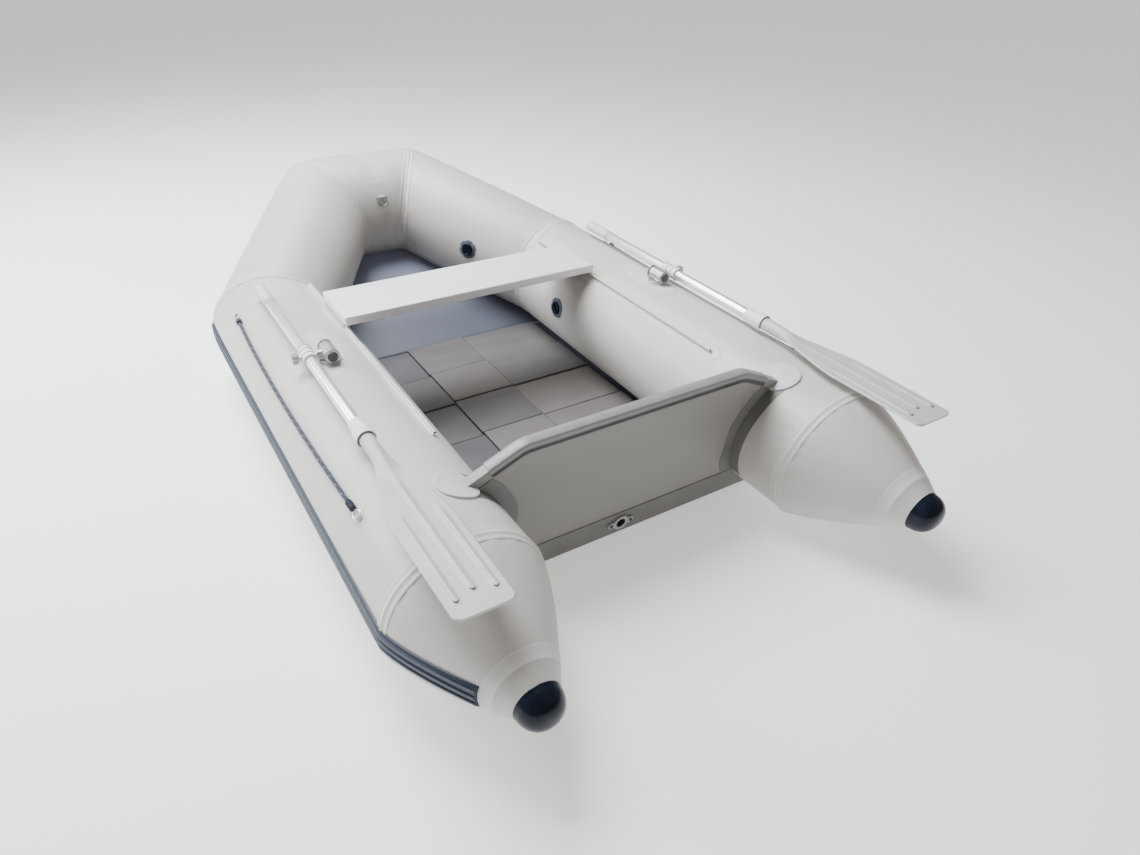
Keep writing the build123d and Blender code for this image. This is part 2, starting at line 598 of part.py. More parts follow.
def make_seat():
    half = SEAT_LENGTH / 2
    low = (-half, SEAT_Y - SEAT_WIDTH / 2, SEAT_Z)
    high = (half, SEAT_Y + SEAT_WIDTH / 2, SEAT_Z + SEAT_THICK)
    plank = fillet(block(low, high).edges().filter_by(Axis.Z), 6)
    plank = chamfer(plank.edges().group_by(Axis.Z)[-1], 2)
    bead_at = TUBE_R + BEAD_HEIGHT
    inner_r = BEAD_R + HOOK_CLEARANCE
    ring = Pos(0, bead_at) * (Circle(inner_r + HOOK_WALL) - Circle(inner_r))
    mouth = Pos(0, bead_at - 6) * Rectangle(WEB + 2.2, 12)
    ring_at, mouth_at = rail_sketch(ring, mouth)
    centre = around_tube(RAIL_ANGLE, bead_at, 0)
    plate_x = centre.X + 1
    plate = Pos(plate_x - HOOK_PLATE_WIDTH / 2, SEAT_Z - FIT - 1.3) * Rectangle(HOOK_PLATE_WIDTH, 2.6)
    bore = Pos(centre.X, centre.Z) * Circle(inner_r)
    section = ring_at + plate - bore - mouth_at
    hook = along(section, SEAT_Y - HOOK_LENGTH / 2, SEAT_Y + HOOK_LENGTH / 2)
    screws = []
    for side in (-1, 1):
        for reach in (-0.36, 0.36):
            x, y = side * (plate_x - 34), SEAT_Y + reach * HOOK_LENGTH
            head_top = SEAT_Z - FIT - 2.6 - FIT
            screws.append(rod((x, y, head_top - 2), (x, y, head_top), 4.0)
                          + rod((x, y, head_top), (x, y, SEAT_Z + 14), SEAT_SCREW_R))
            hole = rod((x, y, SEAT_Z - 10), (x, y, SEAT_Z + 15), SEAT_SCREW_R + SNUG)
            plank = plank - hole
            if side > 0:
                hook = hook - hole
    keep("seat_plank", plank)
    both("seat_hook", hook)
    keep("seat_screws", *screws)


# ---- Oars and rowlocks -------------------------------------------------------------------------------
SWIVEL = Vector(TUBE_X, SWIVEL_Y, OAR_Z)


def make_rowlock():
    """Glued pad with a socket; the swivel head turns in it and carries the oar's cross pin."""
    oval = extrude(Ellipse(PAD_WIDTH / 2, PAD_LENGTH / 2), 120)
    pad = (straight_form(PAD) - straight_form(0)) & Pos(TUBE_X, SWIVEL_Y + PAD_LEAD, CROWN_Z - 60) * oval
    socket_top = CROWN_Z + PAD
    socket = rod((TUBE_X, SWIVEL_Y, CROWN_Z + 0.5), (TUBE_X, SWIVEL_Y, socket_top + 1.5), TURNTABLE_R + 3)
    hollow = rod((TUBE_X, SWIVEL_Y, CROWN_Z + 1.2), (TUBE_X, SWIVEL_Y, CROWN_Z + 40), STEM_R + SNUG)
    pad = pad + (socket - straight_form(0))
    keep_pad = pad - hollow
    keep("rowlock_pads", keep_pad, port(keep_pad))
    table_z = socket_top + 1.5 + FIT
    stem = rod((TUBE_X, SWIVEL_Y, CROWN_Z + 1.8), (TUBE_X, SWIVEL_Y, table_z + 2), STEM_R)
    table = rod((TUBE_X, SWIVEL_Y, table_z), (TUBE_X, SWIVEL_Y, table_z + 5), TURNTABLE_R)
    half = Vector(0, BARREL_LENGTH / 2, 0)
    barrel = rod(SWIVEL - half, SWIVEL + half, BARREL_R) & beyond((0, 0, table_z + 1), (0, 0, 1))
    boss_end = Vector(OAR_X - RIM_R - 3, SWIVEL_Y, OAR_Z)
    boss = rod(SWIVEL, boss_end, BOSS_R)
    button = rod(SWIVEL - half - SIDE_DIR * BUTTON_THICK, SWIVEL - half, BUTTON_R)
    pin_hole = rod((TUBE_X - 6, SWIVEL_Y, OAR_Z), (OAR_X, SWIVEL_Y, OAR_Z), PIN_R + SNUG)
    both("rowlock_swivel", stem + table + barrel + boss + button - pin_hole)
    knob_start = OAR_X + RIM_R + 5
    thread_end = knob_start + KNOB_LENGTH - 3
    both("oar_pin", rod((TUBE_X - 5.5, SWIVEL_Y, OAR_Z), (thread_end, SWIVEL_Y, OAR_Z), PIN_R))
    lobes = Circle(KNOB_R - 3.5)
    for lobe in range(KNOB_LOBES):
        turn = math.radians(360 / KNOB_LOBES * lobe)
        lobes += Pos((KNOB_R - 3.5) * math.cos(turn), (KNOB_R - 3.5) * math.sin(turn)) * Circle(3.5)
    knob_plane = Plane(origin=(knob_start, SWIVEL_Y, OAR_Z), z_dir=(1, 0, 0))
    knob = knob_plane * extrude(lobes, KNOB_LENGTH)
    knob = knob + rod((knob_start - 3, SWIVEL_Y, OAR_Z), (knob_start, SWIVEL_Y, OAR_Z), 7)
    knob = knob - rod((knob_start - 4, SWIVEL_Y, OAR_Z), (thread_end + FIT, SWIVEL_Y, OAR_Z), PIN_R + SNUG)
    both("oar_knob", knob)


def blade_outline():
    """Flat blade seen from above, on its own centreline, forward end at the neck."""
    half = BLADE_WIDTH / 2
    tip, shoulder, neck = BLADE_TIP_Y, BLADE_SHOULDER_Y, NECK_AFT_Y + 30
    with BuildSketch() as drawn:
        with BuildLine():
            Line((-half + 4, tip + 6), (-half, shoulder))
            Spline((-half, shoulder), (-half * 0.68, (shoulder + neck) / 2 - 12), (-NECK_R * 0.9, neck),
                   tangents=[(0, 1), (0.1, 1)])
            Line((-NECK_R * 0.9, neck), (NECK_R * 0.9, neck))
            Spline((NECK_R * 0.9, neck), (half * 0.68, (shoulder + neck) / 2 - 12), (half, shoulder),
                   tangents=[(0.1, -1), (0, -1)])
            Line((half, shoulder), (half - 4, tip + 6))
            ThreePointArc((half - 4, tip + 6), (0, tip), (-half + 4, tip + 6))
        make_face()
        corners = [v for v in drawn.vertices() if v.Y < tip + 10]
        fillet(corners, 14)
    return drawn.sketch


def make_blade():
    axis = Vector(OAR_X, 0, OAR_Z)
    plate = Pos(OAR_X, 0, OAR_Z - BLADE_THICK / 2) * extrude(blade_outline(), BLADE_THICK)
    neck = rod(axis + Vector(0, NECK_AFT_Y, 0), axis + Vector(0, NECK_FORE_Y, 0), NECK_R)
    taper = Plane(origin=axis + Vector(0, NECK_AFT_Y, 0), z_dir=(0, -1, 0))
    blade = plate + neck + taper * Cone(NECK_R, BLADE_THICK / 2 + 0.2, NOSE_LENGTH, align=RISING)
    height = BLADE_THICK + 2 * RIB_HEIGHT
    side_rib = (BLADE_SHOULDER_Y + 30, BLADE_TIP_Y + 40)
    ribs = {-RIB_PITCH: side_rib, 0: (BLADE_SHOULDER_Y + 150, BLADE_TIP_Y + 52), RIB_PITCH: side_rib}
    for shift, (start_y, end_y) in ribs.items():
        bar = Box(RIB_WIDTH, start_y - end_y, height)
        boss = Cylinder(RIB_END_R, height + 1)
        blade = blade + Pos(OAR_X + shift, (start_y + end_y) / 2, OAR_Z) * bar
        blade = blade + Pos(OAR_X + shift, end_y, OAR_Z) * boss
    bore_start = axis + Vector(0, SHAFT_AFT_Y - FIT, 0)
    socket = rod(bore_start, axis + Vector(0, NECK_FORE_Y + 5, 0), SHAFT_R + SNUG)
    both("oar_blade", blade - socket)


def make_oar():
    axis = Vector(OAR_X, 0, OAR_Z)

    def on_axis(y0, y1, radius):
        return rod(axis + Vector(0, y0, 0), axis + Vector(0, y1, 0), radius)

    cross = rod((OAR_X - 40, SWIVEL_Y, OAR_Z), (OAR_X + 40, SWIVEL_Y, OAR_Z), PIN_R + SNUG)
    shaft_fore = OAR_FORE_Y - 12
    hollow = on_axis(SHAFT_AFT_Y - 1, shaft_fore + 1, SHAFT_R - SHAFT_WALL)
    both("oar_shaft", on_axis(SHAFT_AFT_Y, shaft_fore, SHAFT_R) - hollow - cross)
    grip_aft = OAR_FORE_Y - GRIP_LENGTH
    grip = on_axis(grip_aft, OAR_FORE_Y, GRIP_R)
    grip = fillet(grip.edges().group_by(Axis.Y)[-1], 8)
    both("oar_grip", grip - on_axis(grip_aft - 1, shaft_fore + FIT, SHAFT_R + SNUG))
    half = COLLAR_LENGTH / 2
    sleeve = on_axis(SWIVEL_Y - half, SWIVEL_Y + half, COLLAR_R)
    for start in (SWIVEL_Y - half, SWIVEL_Y + half - RIM):
        sleeve = sleeve + on_axis(start, start + RIM, RIM_R)
    sleeve = sleeve - on_axis(SWIVEL_Y - half - 1, SWIVEL_Y + half + 1, SHAFT_R + SNUG) - cross
    both("oar_collar", sleeve)
    make_cuff(on_axis)


def make_cuff(on_axis):
    """Drip cuff: a cup open underneath, on a short sleeve that grips the shaft."""
    cup_fore = NECK_FORE_Y + 2
    sleeve_fore = cup_fore + CUFF_SLEEVE
    cup_aft = cup_fore - CUFF_LENGTH
    cup = on_axis(cup_aft, cup_fore + 3, CUFF_R) - on_axis(cup_aft - 1, cup_fore, CUFF_R - CUFF_WALL)
    deep = 2 * CUFF_R
    spread = deep * math.tan(math.radians(CUFF_GAP / 2))
    wedge = make_face(Polyline((0, 0), (-spread, -deep), (spread, -deep), close=True))
    wedge = along(Pos(OAR_X, OAR_Z) * wedge, cup_aft - 5, cup_fore)
    cuff = (cup - wedge) + on_axis(cup_fore, sleeve_fore, SHAFT_R + 4)
    cuff = cuff - on_axis(cup_aft - 7, sleeve_fore + 1, SHAFT_R + SNUG)
    both("oar_cuff", cuff - on_axis(NECK_AFT_Y, NECK_FORE_Y + FIT, NECK_R + FIT))


# ---- Grab ropes --------------------------------------------------------------------------------------
def make_ropes():
    """Both grab ropes with their ends and rings; gives back the patches that hold the rings."""
    reach = TUBE_R + ROPE_R + ROPE_CLEARANCE
    points = [around_tube(-angle, reach, TRANSOM_Y + y) for y, angle in ROPE_ROUTE]
    runs = [(b - a).length for a, b in zip(points, points[1:])]
    radii = []
    for i in range(1, len(points) - 1):
        turn = math.radians((points[i] - points[i - 1]).get_angle(points[i + 1] - points[i]))
        radii.append(0.45 * min(runs[i - 1], runs[i]) / math.tan(turn / 2))
    path = FilletPolyline(*points, radius=radii)
    section = Plane(origin=points[0], z_dir=points[1] - points[0]) * Circle(ROPE_R)
    rope = sweep(section, path=path)
    print("grab rope: length", round(path.length), "runs", [round(r) for r in runs])
    print("grab rope radii", [round(r) for r in radii])
    plain_volume = math.pi * ROPE_R ** 2 * path.length
    print("grab rope volume against section times length", round(rope.volume / plain_volume, 4))
    both("grab_rope", rope)

    aft_dir = (points[0] - points[1]).normalized()
    fore_dir = (points[-1] - points[-2]).normalized()
    whipping = rod(points[0], points[0] + aft_dir * WHIPPING_LENGTH, WHIPPING_R)
    whipping = fillet(whipping.edges().group_by(Axis.Y)[0], 4)
    knot = rod(points[-1], points[-1] + fore_dir * KNOT_LENGTH, KNOT_R)
    knot = fillet(knot.edges().group_by(Axis.Y)[-1], 6)
    lying = straight_form(PATCH + FIT)
    ends = [whipping - lying, knot - lying]
    keep("rope_ends", *ends, *[port(end) for end in ends])

    skin = straight_form(PATCH) - straight_form(0)
    rings, patches = [], []
    for station, angle, facing in RING_PLACES:
        y = TRANSOM_Y + station
        seat = around_tube(-angle, TUBE_R, y)
        out = (around_tube(-angle, 2 * TUBE_R, y) - seat).normalized()
        strap = seat + out * (reach - TUBE_R)
        across = SIDE_DIR.cross(out)
        loop = rod(strap - across * LOOP_HALF, strap + across * LOOP_HALF, LOOP_BORE_R + 2)
        bore = rod(strap - across * 20, strap + across * 20, LOOP_BORE_R)
        height = reach - TUBE_R - LOOP_BORE_R + 0.4
        standing = Plane(origin=seat + out * 0.4, x_dir=across, z_dir=out)
        foot = standing * Box(2 * LOOP_HALF, 2 * LOOP_HALF, height, align=RISING)
        patch = skin & rod(seat - out * 60, seat + out * 60, RING_PATCH_R)
        patches.append(patch + (loop + foot - bore))
        rings.append(Plane(origin=strap + SIDE_DIR * facing * RING_R, z_dir=out) * Torus(RING_R, RING_WIRE_R))
    keep("rope_rings", *rings, *[port(ring) for ring in rings])
    return [*patches, *[port(patch) for patch in patches]]


# ---- Air valves --------------------------------------------------------------------------------------
def make_valve(name):
    seat, out = VALVES[name]
    face = Plane(origin=seat, z_dir=out)
    rise = 3.2                      # the tube's curve falls away from a flat flange by this much
    body = face * Pos(0, 0, -VALVE_DEPTH) * Cylinder(VALVE_HOLE_R, VALVE_DEPTH + rise, align=RISING)
    ring = Circle(VALVE_FLANGE_R) - Circle(VALVE_HOLE_R - 2)
    for notch in range(VALVE_NOTCHES):
        turn = 2 * math.pi * notch / VALVE_NOTCHES
        ring -= Pos(VALVE_FLANGE_R * math.cos(turn), VALVE_FLANGE_R * math.sin(turn)) * Circle(3)
    body = body + face * Pos(0, 0, FIT) * extrude(ring, VALVE_FLANGE)
    body = body - face * Pos(0, 0, -VALVE_DEPTH + 3) * Cylinder(VALVE_BORE_R, VALVE_DEPTH + 10, align=RISING)
    vents = Circle(VALVE_BORE_R - 1) - Circle(POPPET_R + 2)
    vents -= Rectangle(2 * VALVE_BORE_R, 4) + Rectangle(4, 2 * VALVE_BORE_R)
    body = body - face * Pos(0, 0, -VALVE_DEPTH - 1) * extrude(vents, 10)
    body = body - face * Pos(0, 0, -VALVE_DEPTH - 1) * Cylinder(POPPET_R + SNUG, 40, align=RISING)
    lid_z = max(rise, VALVE_FLANGE + FIT) + FIT
    lid = face * Pos(0, 0, lid_z) * Cylinder(CAP_R, CAP_THICK, align=RISING)
    lid = fillet(lid.edges().sort_by(lambda e: (Vector(e.center()) - seat).dot(out))[-1], 1.5)
    bar = face * Pos(0, 0, lid_z + CAP_THICK + 0.5) * Box(2 * CAP_R - 8, 5, 3)
    spigot = face * Pos(0, 0, lid_z - 5) * Cylinder(VALVE_BORE_R - SNUG, 5.5, align=RISING)
    poppet = face * Pos(0, 0, -VALVE_DEPTH - 8) * Cylinder(POPPET_R, VALVE_DEPTH + 4, align=RISING)
    disc = face * Pos(0, 0, -VALVE_DEPTH - 9) * Cylinder(VALVE_BORE_R + 3, 9 - FIT, align=RISING)
    head = face * Pos(0, 0, -8 - FIT) * Cylinder(8, 4, align=RISING)
    keep("valve_cap_" + name, lid + bar + spigot)
    print("valve", name, "at", seat, "facing", out)
    keep("valve_poppet_" + name, poppet + disc + head)
    return body


def make_valves():
    keep("valve_bodies", *[make_valve(name) for name in VALVES])


# ---- Bow rings ---------------------------------------------------------------------------------------
def make_bow_ring():
    """A D-ring hanging from a round patch on the cockpit side of the front panel."""
    turn = math.radians(D_ANGLE)
    out = Vector(0, -math.sin(turn), math.cos(turn))
    centre = Vector(0, FRONT.Y, FRONT.Z)
    seat = centre + out * TUBE_R
    hang = Vector(0, -math.cos(turn), -math.sin(turn))
    bar_at = centre + out * (TUBE_R + D_HEIGHT)
    skin = rod((-60, FRONT.Y, FRONT.Z), (60, FRONT.Y, FRONT.Z), TUBE_R + 1.2)
    skin = skin - rod((-61, FRONT.Y, FRONT.Z), (61, FRONT.Y, FRONT.Z), TUBE_R)
    patch = skin & rod(seat - out * 40, seat + out * 40, D_PATCH_R)
    loop = rod(bar_at - Vector(11, 0, 0), bar_at + Vector(11, 0, 0), D_WIRE_R + 2.6)
    foot_plane = Plane(origin=seat + out * 0.6, x_dir=(1, 0, 0), z_dir=out)
    foot = foot_plane * Box(22, 7, D_HEIGHT, align=RISING)
    bore = rod(bar_at - Vector(30, 0, 0), bar_at + Vector(30, 0, 0), D_WIRE_R + FIT)
    half = D_BAR / 2
    ring = rod(bar_at - Vector(half, 0, 0), bar_at + Vector(half, 0, 0), D_WIRE_R)
    for side in (-1, 1):
        corner = bar_at + Vector(side * half, 0, 0)
        ring = ring + rod(corner, corner + hang * D_DROP, D_WIRE_R) + Pos(*corner) * Sphere(D_WIRE_R)
    arc_at = bar_at + hang * D_DROP
    arc = Plane(origin=arc_at, x_dir=(1, 0, 0), z_dir=out) * Torus(half, D_WIRE_R)
    ring = ring + (arc & beyond(arc_at, hang))
    keep("bow_ring", ring)
    keep("bow_ring_patch", patch + (loop + foot - bore))
    print("bow ring bar at", bar_at, "hanging along", hang)


make_tubes()
make_stern_caps()
make_tapes()
make_strakes()
make_floor()
make_transom()
make_gussets()
make_discs()
make_drain()
rail_pads = make_rails()
make_seat()
make_rowlock()
make_blade()
make_oar()
ring_patches = make_ropes()
make_valves()
keep("glued_patches", *rail_pads, *ring_patches)
make_bow_ring()

os.makedirs("parts", exist_ok=True)
for name, shape in parts.items():
    export_step(shape, f"parts/{name}.step")
print(len(parts), "nodes")
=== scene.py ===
# %% [markdown]
# # Inflatable dinghy
# A small tender: two air tubes with stern cones, a mitred bow that rises, a slatted floor, a plywood
# transom, a sliding bench and two oars. The measured model comes in first as a fixed frame, and every
# piece made here is laid on it, in metres, with +Y towards the bow and +X to starboard.

# %% The frame
import math
import bmesh
import bpy
from mathutils import Euler, Matrix, Vector, noise


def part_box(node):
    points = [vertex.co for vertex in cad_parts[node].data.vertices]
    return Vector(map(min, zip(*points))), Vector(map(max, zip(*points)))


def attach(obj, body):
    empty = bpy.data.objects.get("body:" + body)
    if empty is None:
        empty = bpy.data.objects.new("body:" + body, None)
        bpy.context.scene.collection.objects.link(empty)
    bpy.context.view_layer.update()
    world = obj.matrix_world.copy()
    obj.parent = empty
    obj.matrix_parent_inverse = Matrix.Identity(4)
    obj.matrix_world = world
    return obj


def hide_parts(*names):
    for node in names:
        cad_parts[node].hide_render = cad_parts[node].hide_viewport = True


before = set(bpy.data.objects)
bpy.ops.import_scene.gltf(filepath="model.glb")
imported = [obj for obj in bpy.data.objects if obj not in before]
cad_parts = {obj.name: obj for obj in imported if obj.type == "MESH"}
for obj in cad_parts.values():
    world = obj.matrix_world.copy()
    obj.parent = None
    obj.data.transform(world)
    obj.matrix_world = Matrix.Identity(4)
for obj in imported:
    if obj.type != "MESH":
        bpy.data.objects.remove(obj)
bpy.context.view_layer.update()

# %% [markdown]
# ## Camera
# A dinghy is usually shown from behind and above, from the port quarter, so that the transom, the floor
# and both oars are seen at once. The lens is slightly wide and the camera leans a little. The camera's
# own axes are worked out from its heading, its dip and its lean, which is easier to reason about than
# three Euler angles.

# %% Camera
TRANSOM_Y = -0.6915
heading, dip, lean = math.radians(32.0), math.radians(39.48), math.radians(2.15)
level_right = Vector((math.cos(heading), -math.sin(heading), 0))
ahead = Vector((math.sin(heading) * math.cos(dip), math.cos(heading) * math.cos(dip), -math.sin(dip)))
level_up = level_right.cross(ahead)
right = math.cos(lean) * level_right + math.sin(lean) * level_up
up = math.cos(lean) * level_up - math.sin(lean) * level_right
camera = bpy.data.objects.new("camera", bpy.data.cameras.new("camera"))
bpy.context.scene.collection.objects.link(camera)
turn = Matrix((right, up, -ahead)).transposed().to_4x4()
camera.matrix_world = Matrix.Translation((-0.8997, TRANSOM_Y - 0.9747, 1.2246)) @ turn
camera.data.sensor_width = 36
camera.data.lens = 22.7
camera.data.shift_x, camera.data.shift_y = 0.0386, 0.0537
bpy.context.scene.camera = camera
print("camera at", [round(v, 3) for v in camera.location])

# %% [markdown]
# ## Finishes
# Each finish is one material made of nodes. Nearly all of them need the same three things: a colour that
# drifts a little, a roughness that drifts with it, and a fine relief. One helper makes those from noise
# in object space, in real metres, so the grain keeps its size on every piece. What differs between
# coated fabric, paint, moulded plastic and metal is the size of the grain and how deep it is.


# %% Helper: a finish
def finish(name, dark, light, grain, rough, relief, depth, metal=0.0, stretch=(1, 1, 1), sheen=0.0,
           gloss=0.5):
    """A material whose colour drifts between two tones over grain-sized patches.

    grain and relief are metres, depth is the relief's height in metres, and rough is a range.
    """
    material = bpy.data.materials.new(name)
    material.use_nodes = True
    nodes, links = material.node_tree.nodes, material.node_tree.links
    shader = nodes["Principled BSDF"]
    where = nodes.new("ShaderNodeTexCoord")
    scale = nodes.new("ShaderNodeMapping")
    scale.inputs["Scale"].default_value = stretch
    links.new(where.outputs["Object"], scale.inputs["Vector"])
    patches = nodes.new("ShaderNodeTexNoise")
    patches.inputs["Scale"].default_value = 1 / grain
    patches.inputs["Detail"].default_value = 4
    links.new(scale.outputs["Vector"], patches.inputs["Vector"])
    tones = nodes.new("ShaderNodeValToRGB")
    tones.color_ramp.elements[0].position, tones.color_ramp.elements[1].position = 0.35, 0.65
    tones.color_ramp.elements[0].color = (*dark, 1)
    tones.color_ramp.elements[1].color = (*light, 1)
    links.new(patches.outputs["Fac"], tones.inputs["Fac"])
    links.new(tones.outputs["Color"], shader.inputs["Base Color"])
    dull = nodes.new("ShaderNodeMapRange")
    dull.inputs["To Min"].default_value, dull.inputs["To Max"].default_value = rough
    links.new(patches.outputs["Fac"], dull.inputs["Value"])
    links.new(dull.outputs["Result"], shader.inputs["Roughness"])
    tooth = nodes.new("ShaderNodeTexNoise")
    tooth.inputs["Scale"].default_value = 1 / relief
    tooth.inputs["Detail"].default_value = 3
    links.new(scale.outputs["Vector"], tooth.inputs["Vector"])
    bump = nodes.new("ShaderNodeBump")
    bump.inputs["Distance"].default_value = depth
    bump.inputs["Strength"].default_value = 0.6
    links.new(tooth.outputs["Fac"], bump.inputs["Height"])
    links.new(bump.outputs["Normal"], shader.inputs["Normal"])
    shader.inputs["Metallic"].default_value = metal
    shader.inputs["Sheen Weight"].default_value = sheen
    shader.inputs["Specular IOR Level"].default_value = gloss
    return material


# %% [markdown]
# The tubes are PVC-coated polyester. Up close the coating has a fine leathery tooth, and a faint square
# weave shows through it. The weave is two crossed wave textures added to the relief.

# %% Coated fabrics
def add_weave(material, pitch, depth):
    """Lays a square weave under a finish's own relief."""
    nodes, links = material.node_tree.nodes, material.node_tree.links
    where = nodes.new("ShaderNodeTexCoord")
    threads = []
    for direction in ("X", "Y"):
        wave = nodes.new("ShaderNodeTexWave")
        wave.bands_direction = direction
        wave.inputs["Scale"].default_value = 0.314 / pitch
        wave.inputs["Distortion"].default_value = 0.4
        links.new(where.outputs["Object"], wave.inputs["Vector"])
        threads.append(wave)
    both = nodes.new("ShaderNodeMath")
    both.operation = "MULTIPLY"
    links.new(threads[0].outputs["Fac"], both.inputs[0])
    links.new(threads[1].outputs["Fac"], both.inputs[1])
    weave = nodes.new("ShaderNodeBump")
    weave.inputs["Distance"].default_value = depth
    weave.inputs["Strength"].default_value = 0.5
    links.new(both.outputs["Value"], weave.inputs["Height"])
    bump = next(node for node in nodes if node.type == "BUMP" and node != weave)
    links.new(weave.outputs["Normal"], bump.inputs["Normal"])


tube_fabric = finish("tube fabric", (0.540, 0.515, 0.485), (0.580, 0.556, 0.526),
                     0.35, (0.34, 0.46), relief=0.0016, depth=0.00012)
tape_fabric = finish("tape fabric", (0.585, 0.562, 0.532), (0.630, 0.608, 0.580),
                     0.20, (0.36, 0.48), relief=0.0016, depth=0.00012)
floor_fabric = finish("bow floor fabric", (0.235, 0.258, 0.355), (0.275, 0.300, 0.400),
                      0.25, (0.45, 0.6), relief=0.0020, depth=0.0002)
gusset_fabric = finish("gusset fabric", (0.150, 0.146, 0.138), (0.180, 0.175, 0.166),
                       0.06, (0.4, 0.55), relief=0.0018, depth=0.0002)
band_fabric = finish("transom band fabric", (0.150, 0.144, 0.136), (0.176, 0.170, 0.161),
                     0.08, (0.4, 0.55), relief=0.0018, depth=0.0002)
for fabric in (tube_fabric, tape_fabric, floor_fabric, gusset_fabric, band_fabric):
    add_weave(fabric, 0.0012, 0.00008)
print("fabrics made")


# %% [markdown]
# The bottom fabric is darker where it meets the boards than it is up in the bow: a painted shade where the
# seat and the tubes shadow it. A slow gradient along the boat, in metres, is multiplied into its colour.


# %% Painted shade along the boat
def add_painted_shade(material, start, end, darkest):
    """Paints shade into a finish: darker towards start, measured along the boat."""
    nodes, links = material.node_tree.nodes, material.node_tree.links
    shader = nodes["Principled BSDF"]
    where = nodes.new("ShaderNodeTexCoord")
    split = nodes.new("ShaderNodeSeparateXYZ")
    links.new(where.outputs["Object"], split.inputs["Vector"])
    share = nodes.new("ShaderNodeMapRange")
    share.interpolation_type = "SMOOTHSTEP"
    share.inputs["From Min"].default_value, share.inputs["From Max"].default_value = start, end
    share.inputs["To Min"].default_value, share.inputs["To Max"].default_value = darkest, 1.0
    links.new(split.outputs["Y"], share.inputs["Value"])
    mix = nodes.new("ShaderNodeMix")
    mix.data_type, mix.blend_type = "RGBA", "MULTIPLY"
    mix.inputs["Factor"].default_value = 1.0
    tones = shader.inputs["Base Color"].links[0].from_socket
    links.new(tones, mix.inputs["A"])
    links.new(share.outputs["Result"], mix.inputs["B"])
    links.new(mix.outputs["Result"], shader.inputs["Base Color"])


# The bottom fabric gets its painted shade: darker aft, towards the boards and under the seat.
add_painted_shade(floor_fabric, 0.50, 0.78, 0.30)

# %% [markdown]
# Moulded plastics have a slight orange-peel surface, paint follows the wood grain under it, and metal is
# brushed along its length. The stretch of the noise does the last two: grain is noise that is squeezed
# across the board and long along it.

# %% Plastics, paints and metals
navy_moulding = finish("navy moulding", (0.003, 0.006, 0.013), (0.008, 0.012, 0.024),
                       0.03, (0.14, 0.24), relief=0.004, depth=0.0002, gloss=0.20)
valve_ring = finish("valve ring", (0.07, 0.09, 0.13), (0.10, 0.125, 0.17),
                    0.02, (0.3, 0.42), relief=0.002, depth=0.0001)
strake_rubber = finish("strake rubber", (0.004, 0.010, 0.028), (0.008, 0.017, 0.042),
                       0.05, (0.35, 0.5), relief=0.002, depth=0.0002, gloss=0.35)
fitting_plastic = finish("grey fitting plastic", (0.36, 0.37, 0.385), (0.43, 0.44, 0.455),
                         0.03, (0.3, 0.42), relief=0.0015, depth=0.0001)
dark_plastic = finish("dark fitting plastic", (0.045, 0.047, 0.052), (0.075, 0.078, 0.085),
                      0.02, (0.35, 0.5), relief=0.0015, depth=0.0001)
white_plastic = finish("white moulded plastic", (0.78, 0.78, 0.77), (0.84, 0.84, 0.83),
                       0.04, (0.28, 0.4), relief=0.002, depth=0.0001)
pale_plastic = finish("pale disc plastic", (0.56, 0.57, 0.575), (0.62, 0.63, 0.635),
                      0.04, (0.32, 0.44), relief=0.002, depth=0.0001)
blade_plastic = finish("blade plastic", (0.46, 0.46, 0.452), (0.52, 0.52, 0.512),
                       0.06, (0.35, 0.5), relief=0.0012, depth=0.00015)
grip_plastic = finish("grip plastic", (0.56, 0.57, 0.58), (0.64, 0.65, 0.66),
                      0.02, (0.4, 0.55), relief=0.0010, depth=0.0002)
trim_plastic = finish("trim plastic", (0.225, 0.223, 0.219), (0.262, 0.259, 0.255),
                      0.05, (0.3, 0.42), relief=0.0015, depth=0.0001)
# The trim's lower lip is darker: a painted shade under its rounded edge.
trim_painted_shade = finish("trim lower lip painted shade", (0.060, 0.060, 0.063), (0.085, 0.085, 0.089),
                    0.05, (0.35, 0.5), relief=0.0015, depth=0.0001)
transom_paint = finish("transom paint", (0.245, 0.235, 0.219), (0.268, 0.258, 0.241),
                       0.30, (0.34, 0.5), relief=0.004, depth=0.0003, stretch=(0.35, 1, 2.6))
seat_paint = finish("seat paint", (0.90, 0.905, 0.91), (0.94, 0.945, 0.95),
                    0.05, (0.26, 0.38), relief=0.005, depth=0.0002, metal=0.15, stretch=(0.3, 2.2, 1))
oar_metal = finish("anodised oar tube", (0.86, 0.87, 0.88), (0.93, 0.94, 0.95),
                   0.02, (0.24, 0.36), relief=0.003, depth=0.00005, metal=0.7, stretch=(3, 0.1, 3))
steel = finish("stainless steel", (0.60, 0.60, 0.61), (0.70, 0.70, 0.71),
               0.01, (0.18, 0.3), relief=0.001, depth=0.00003, metal=1.0)
board_tones = [
    finish("floor board light", (0.128, 0.116, 0.110), (0.148, 0.135, 0.128),
           0.08, (0.4, 0.55), relief=0.003, depth=0.0002, stretch=(0.5, 1.6, 1)),
    finish("floor board middle", (0.100, 0.092, 0.090), (0.118, 0.109, 0.106),
           0.08, (0.4, 0.55), relief=0.003, depth=0.0002, stretch=(0.5, 1.6, 1)),
    finish("floor board dark", (0.076, 0.074, 0.081), (0.092, 0.089, 0.097),
           0.08, (0.4, 0.55), relief=0.003, depth=0.0002, stretch=(0.5, 1.6, 1)),
]
rope_navy = finish("navy cord", (0.008, 0.014, 0.038), (0.018, 0.028, 0.066),
                   0.004, (0.6, 0.8), relief=0.0006, depth=0.0002, sheen=0.3)
rope_fleck = finish("light cord fleck", (0.13, 0.15, 0.22), (0.20, 0.23, 0.31),
                    0.004, (0.6, 0.8), relief=0.0006, depth=0.0002, sheen=0.3)
print(len(bpy.data.materials), "finishes")

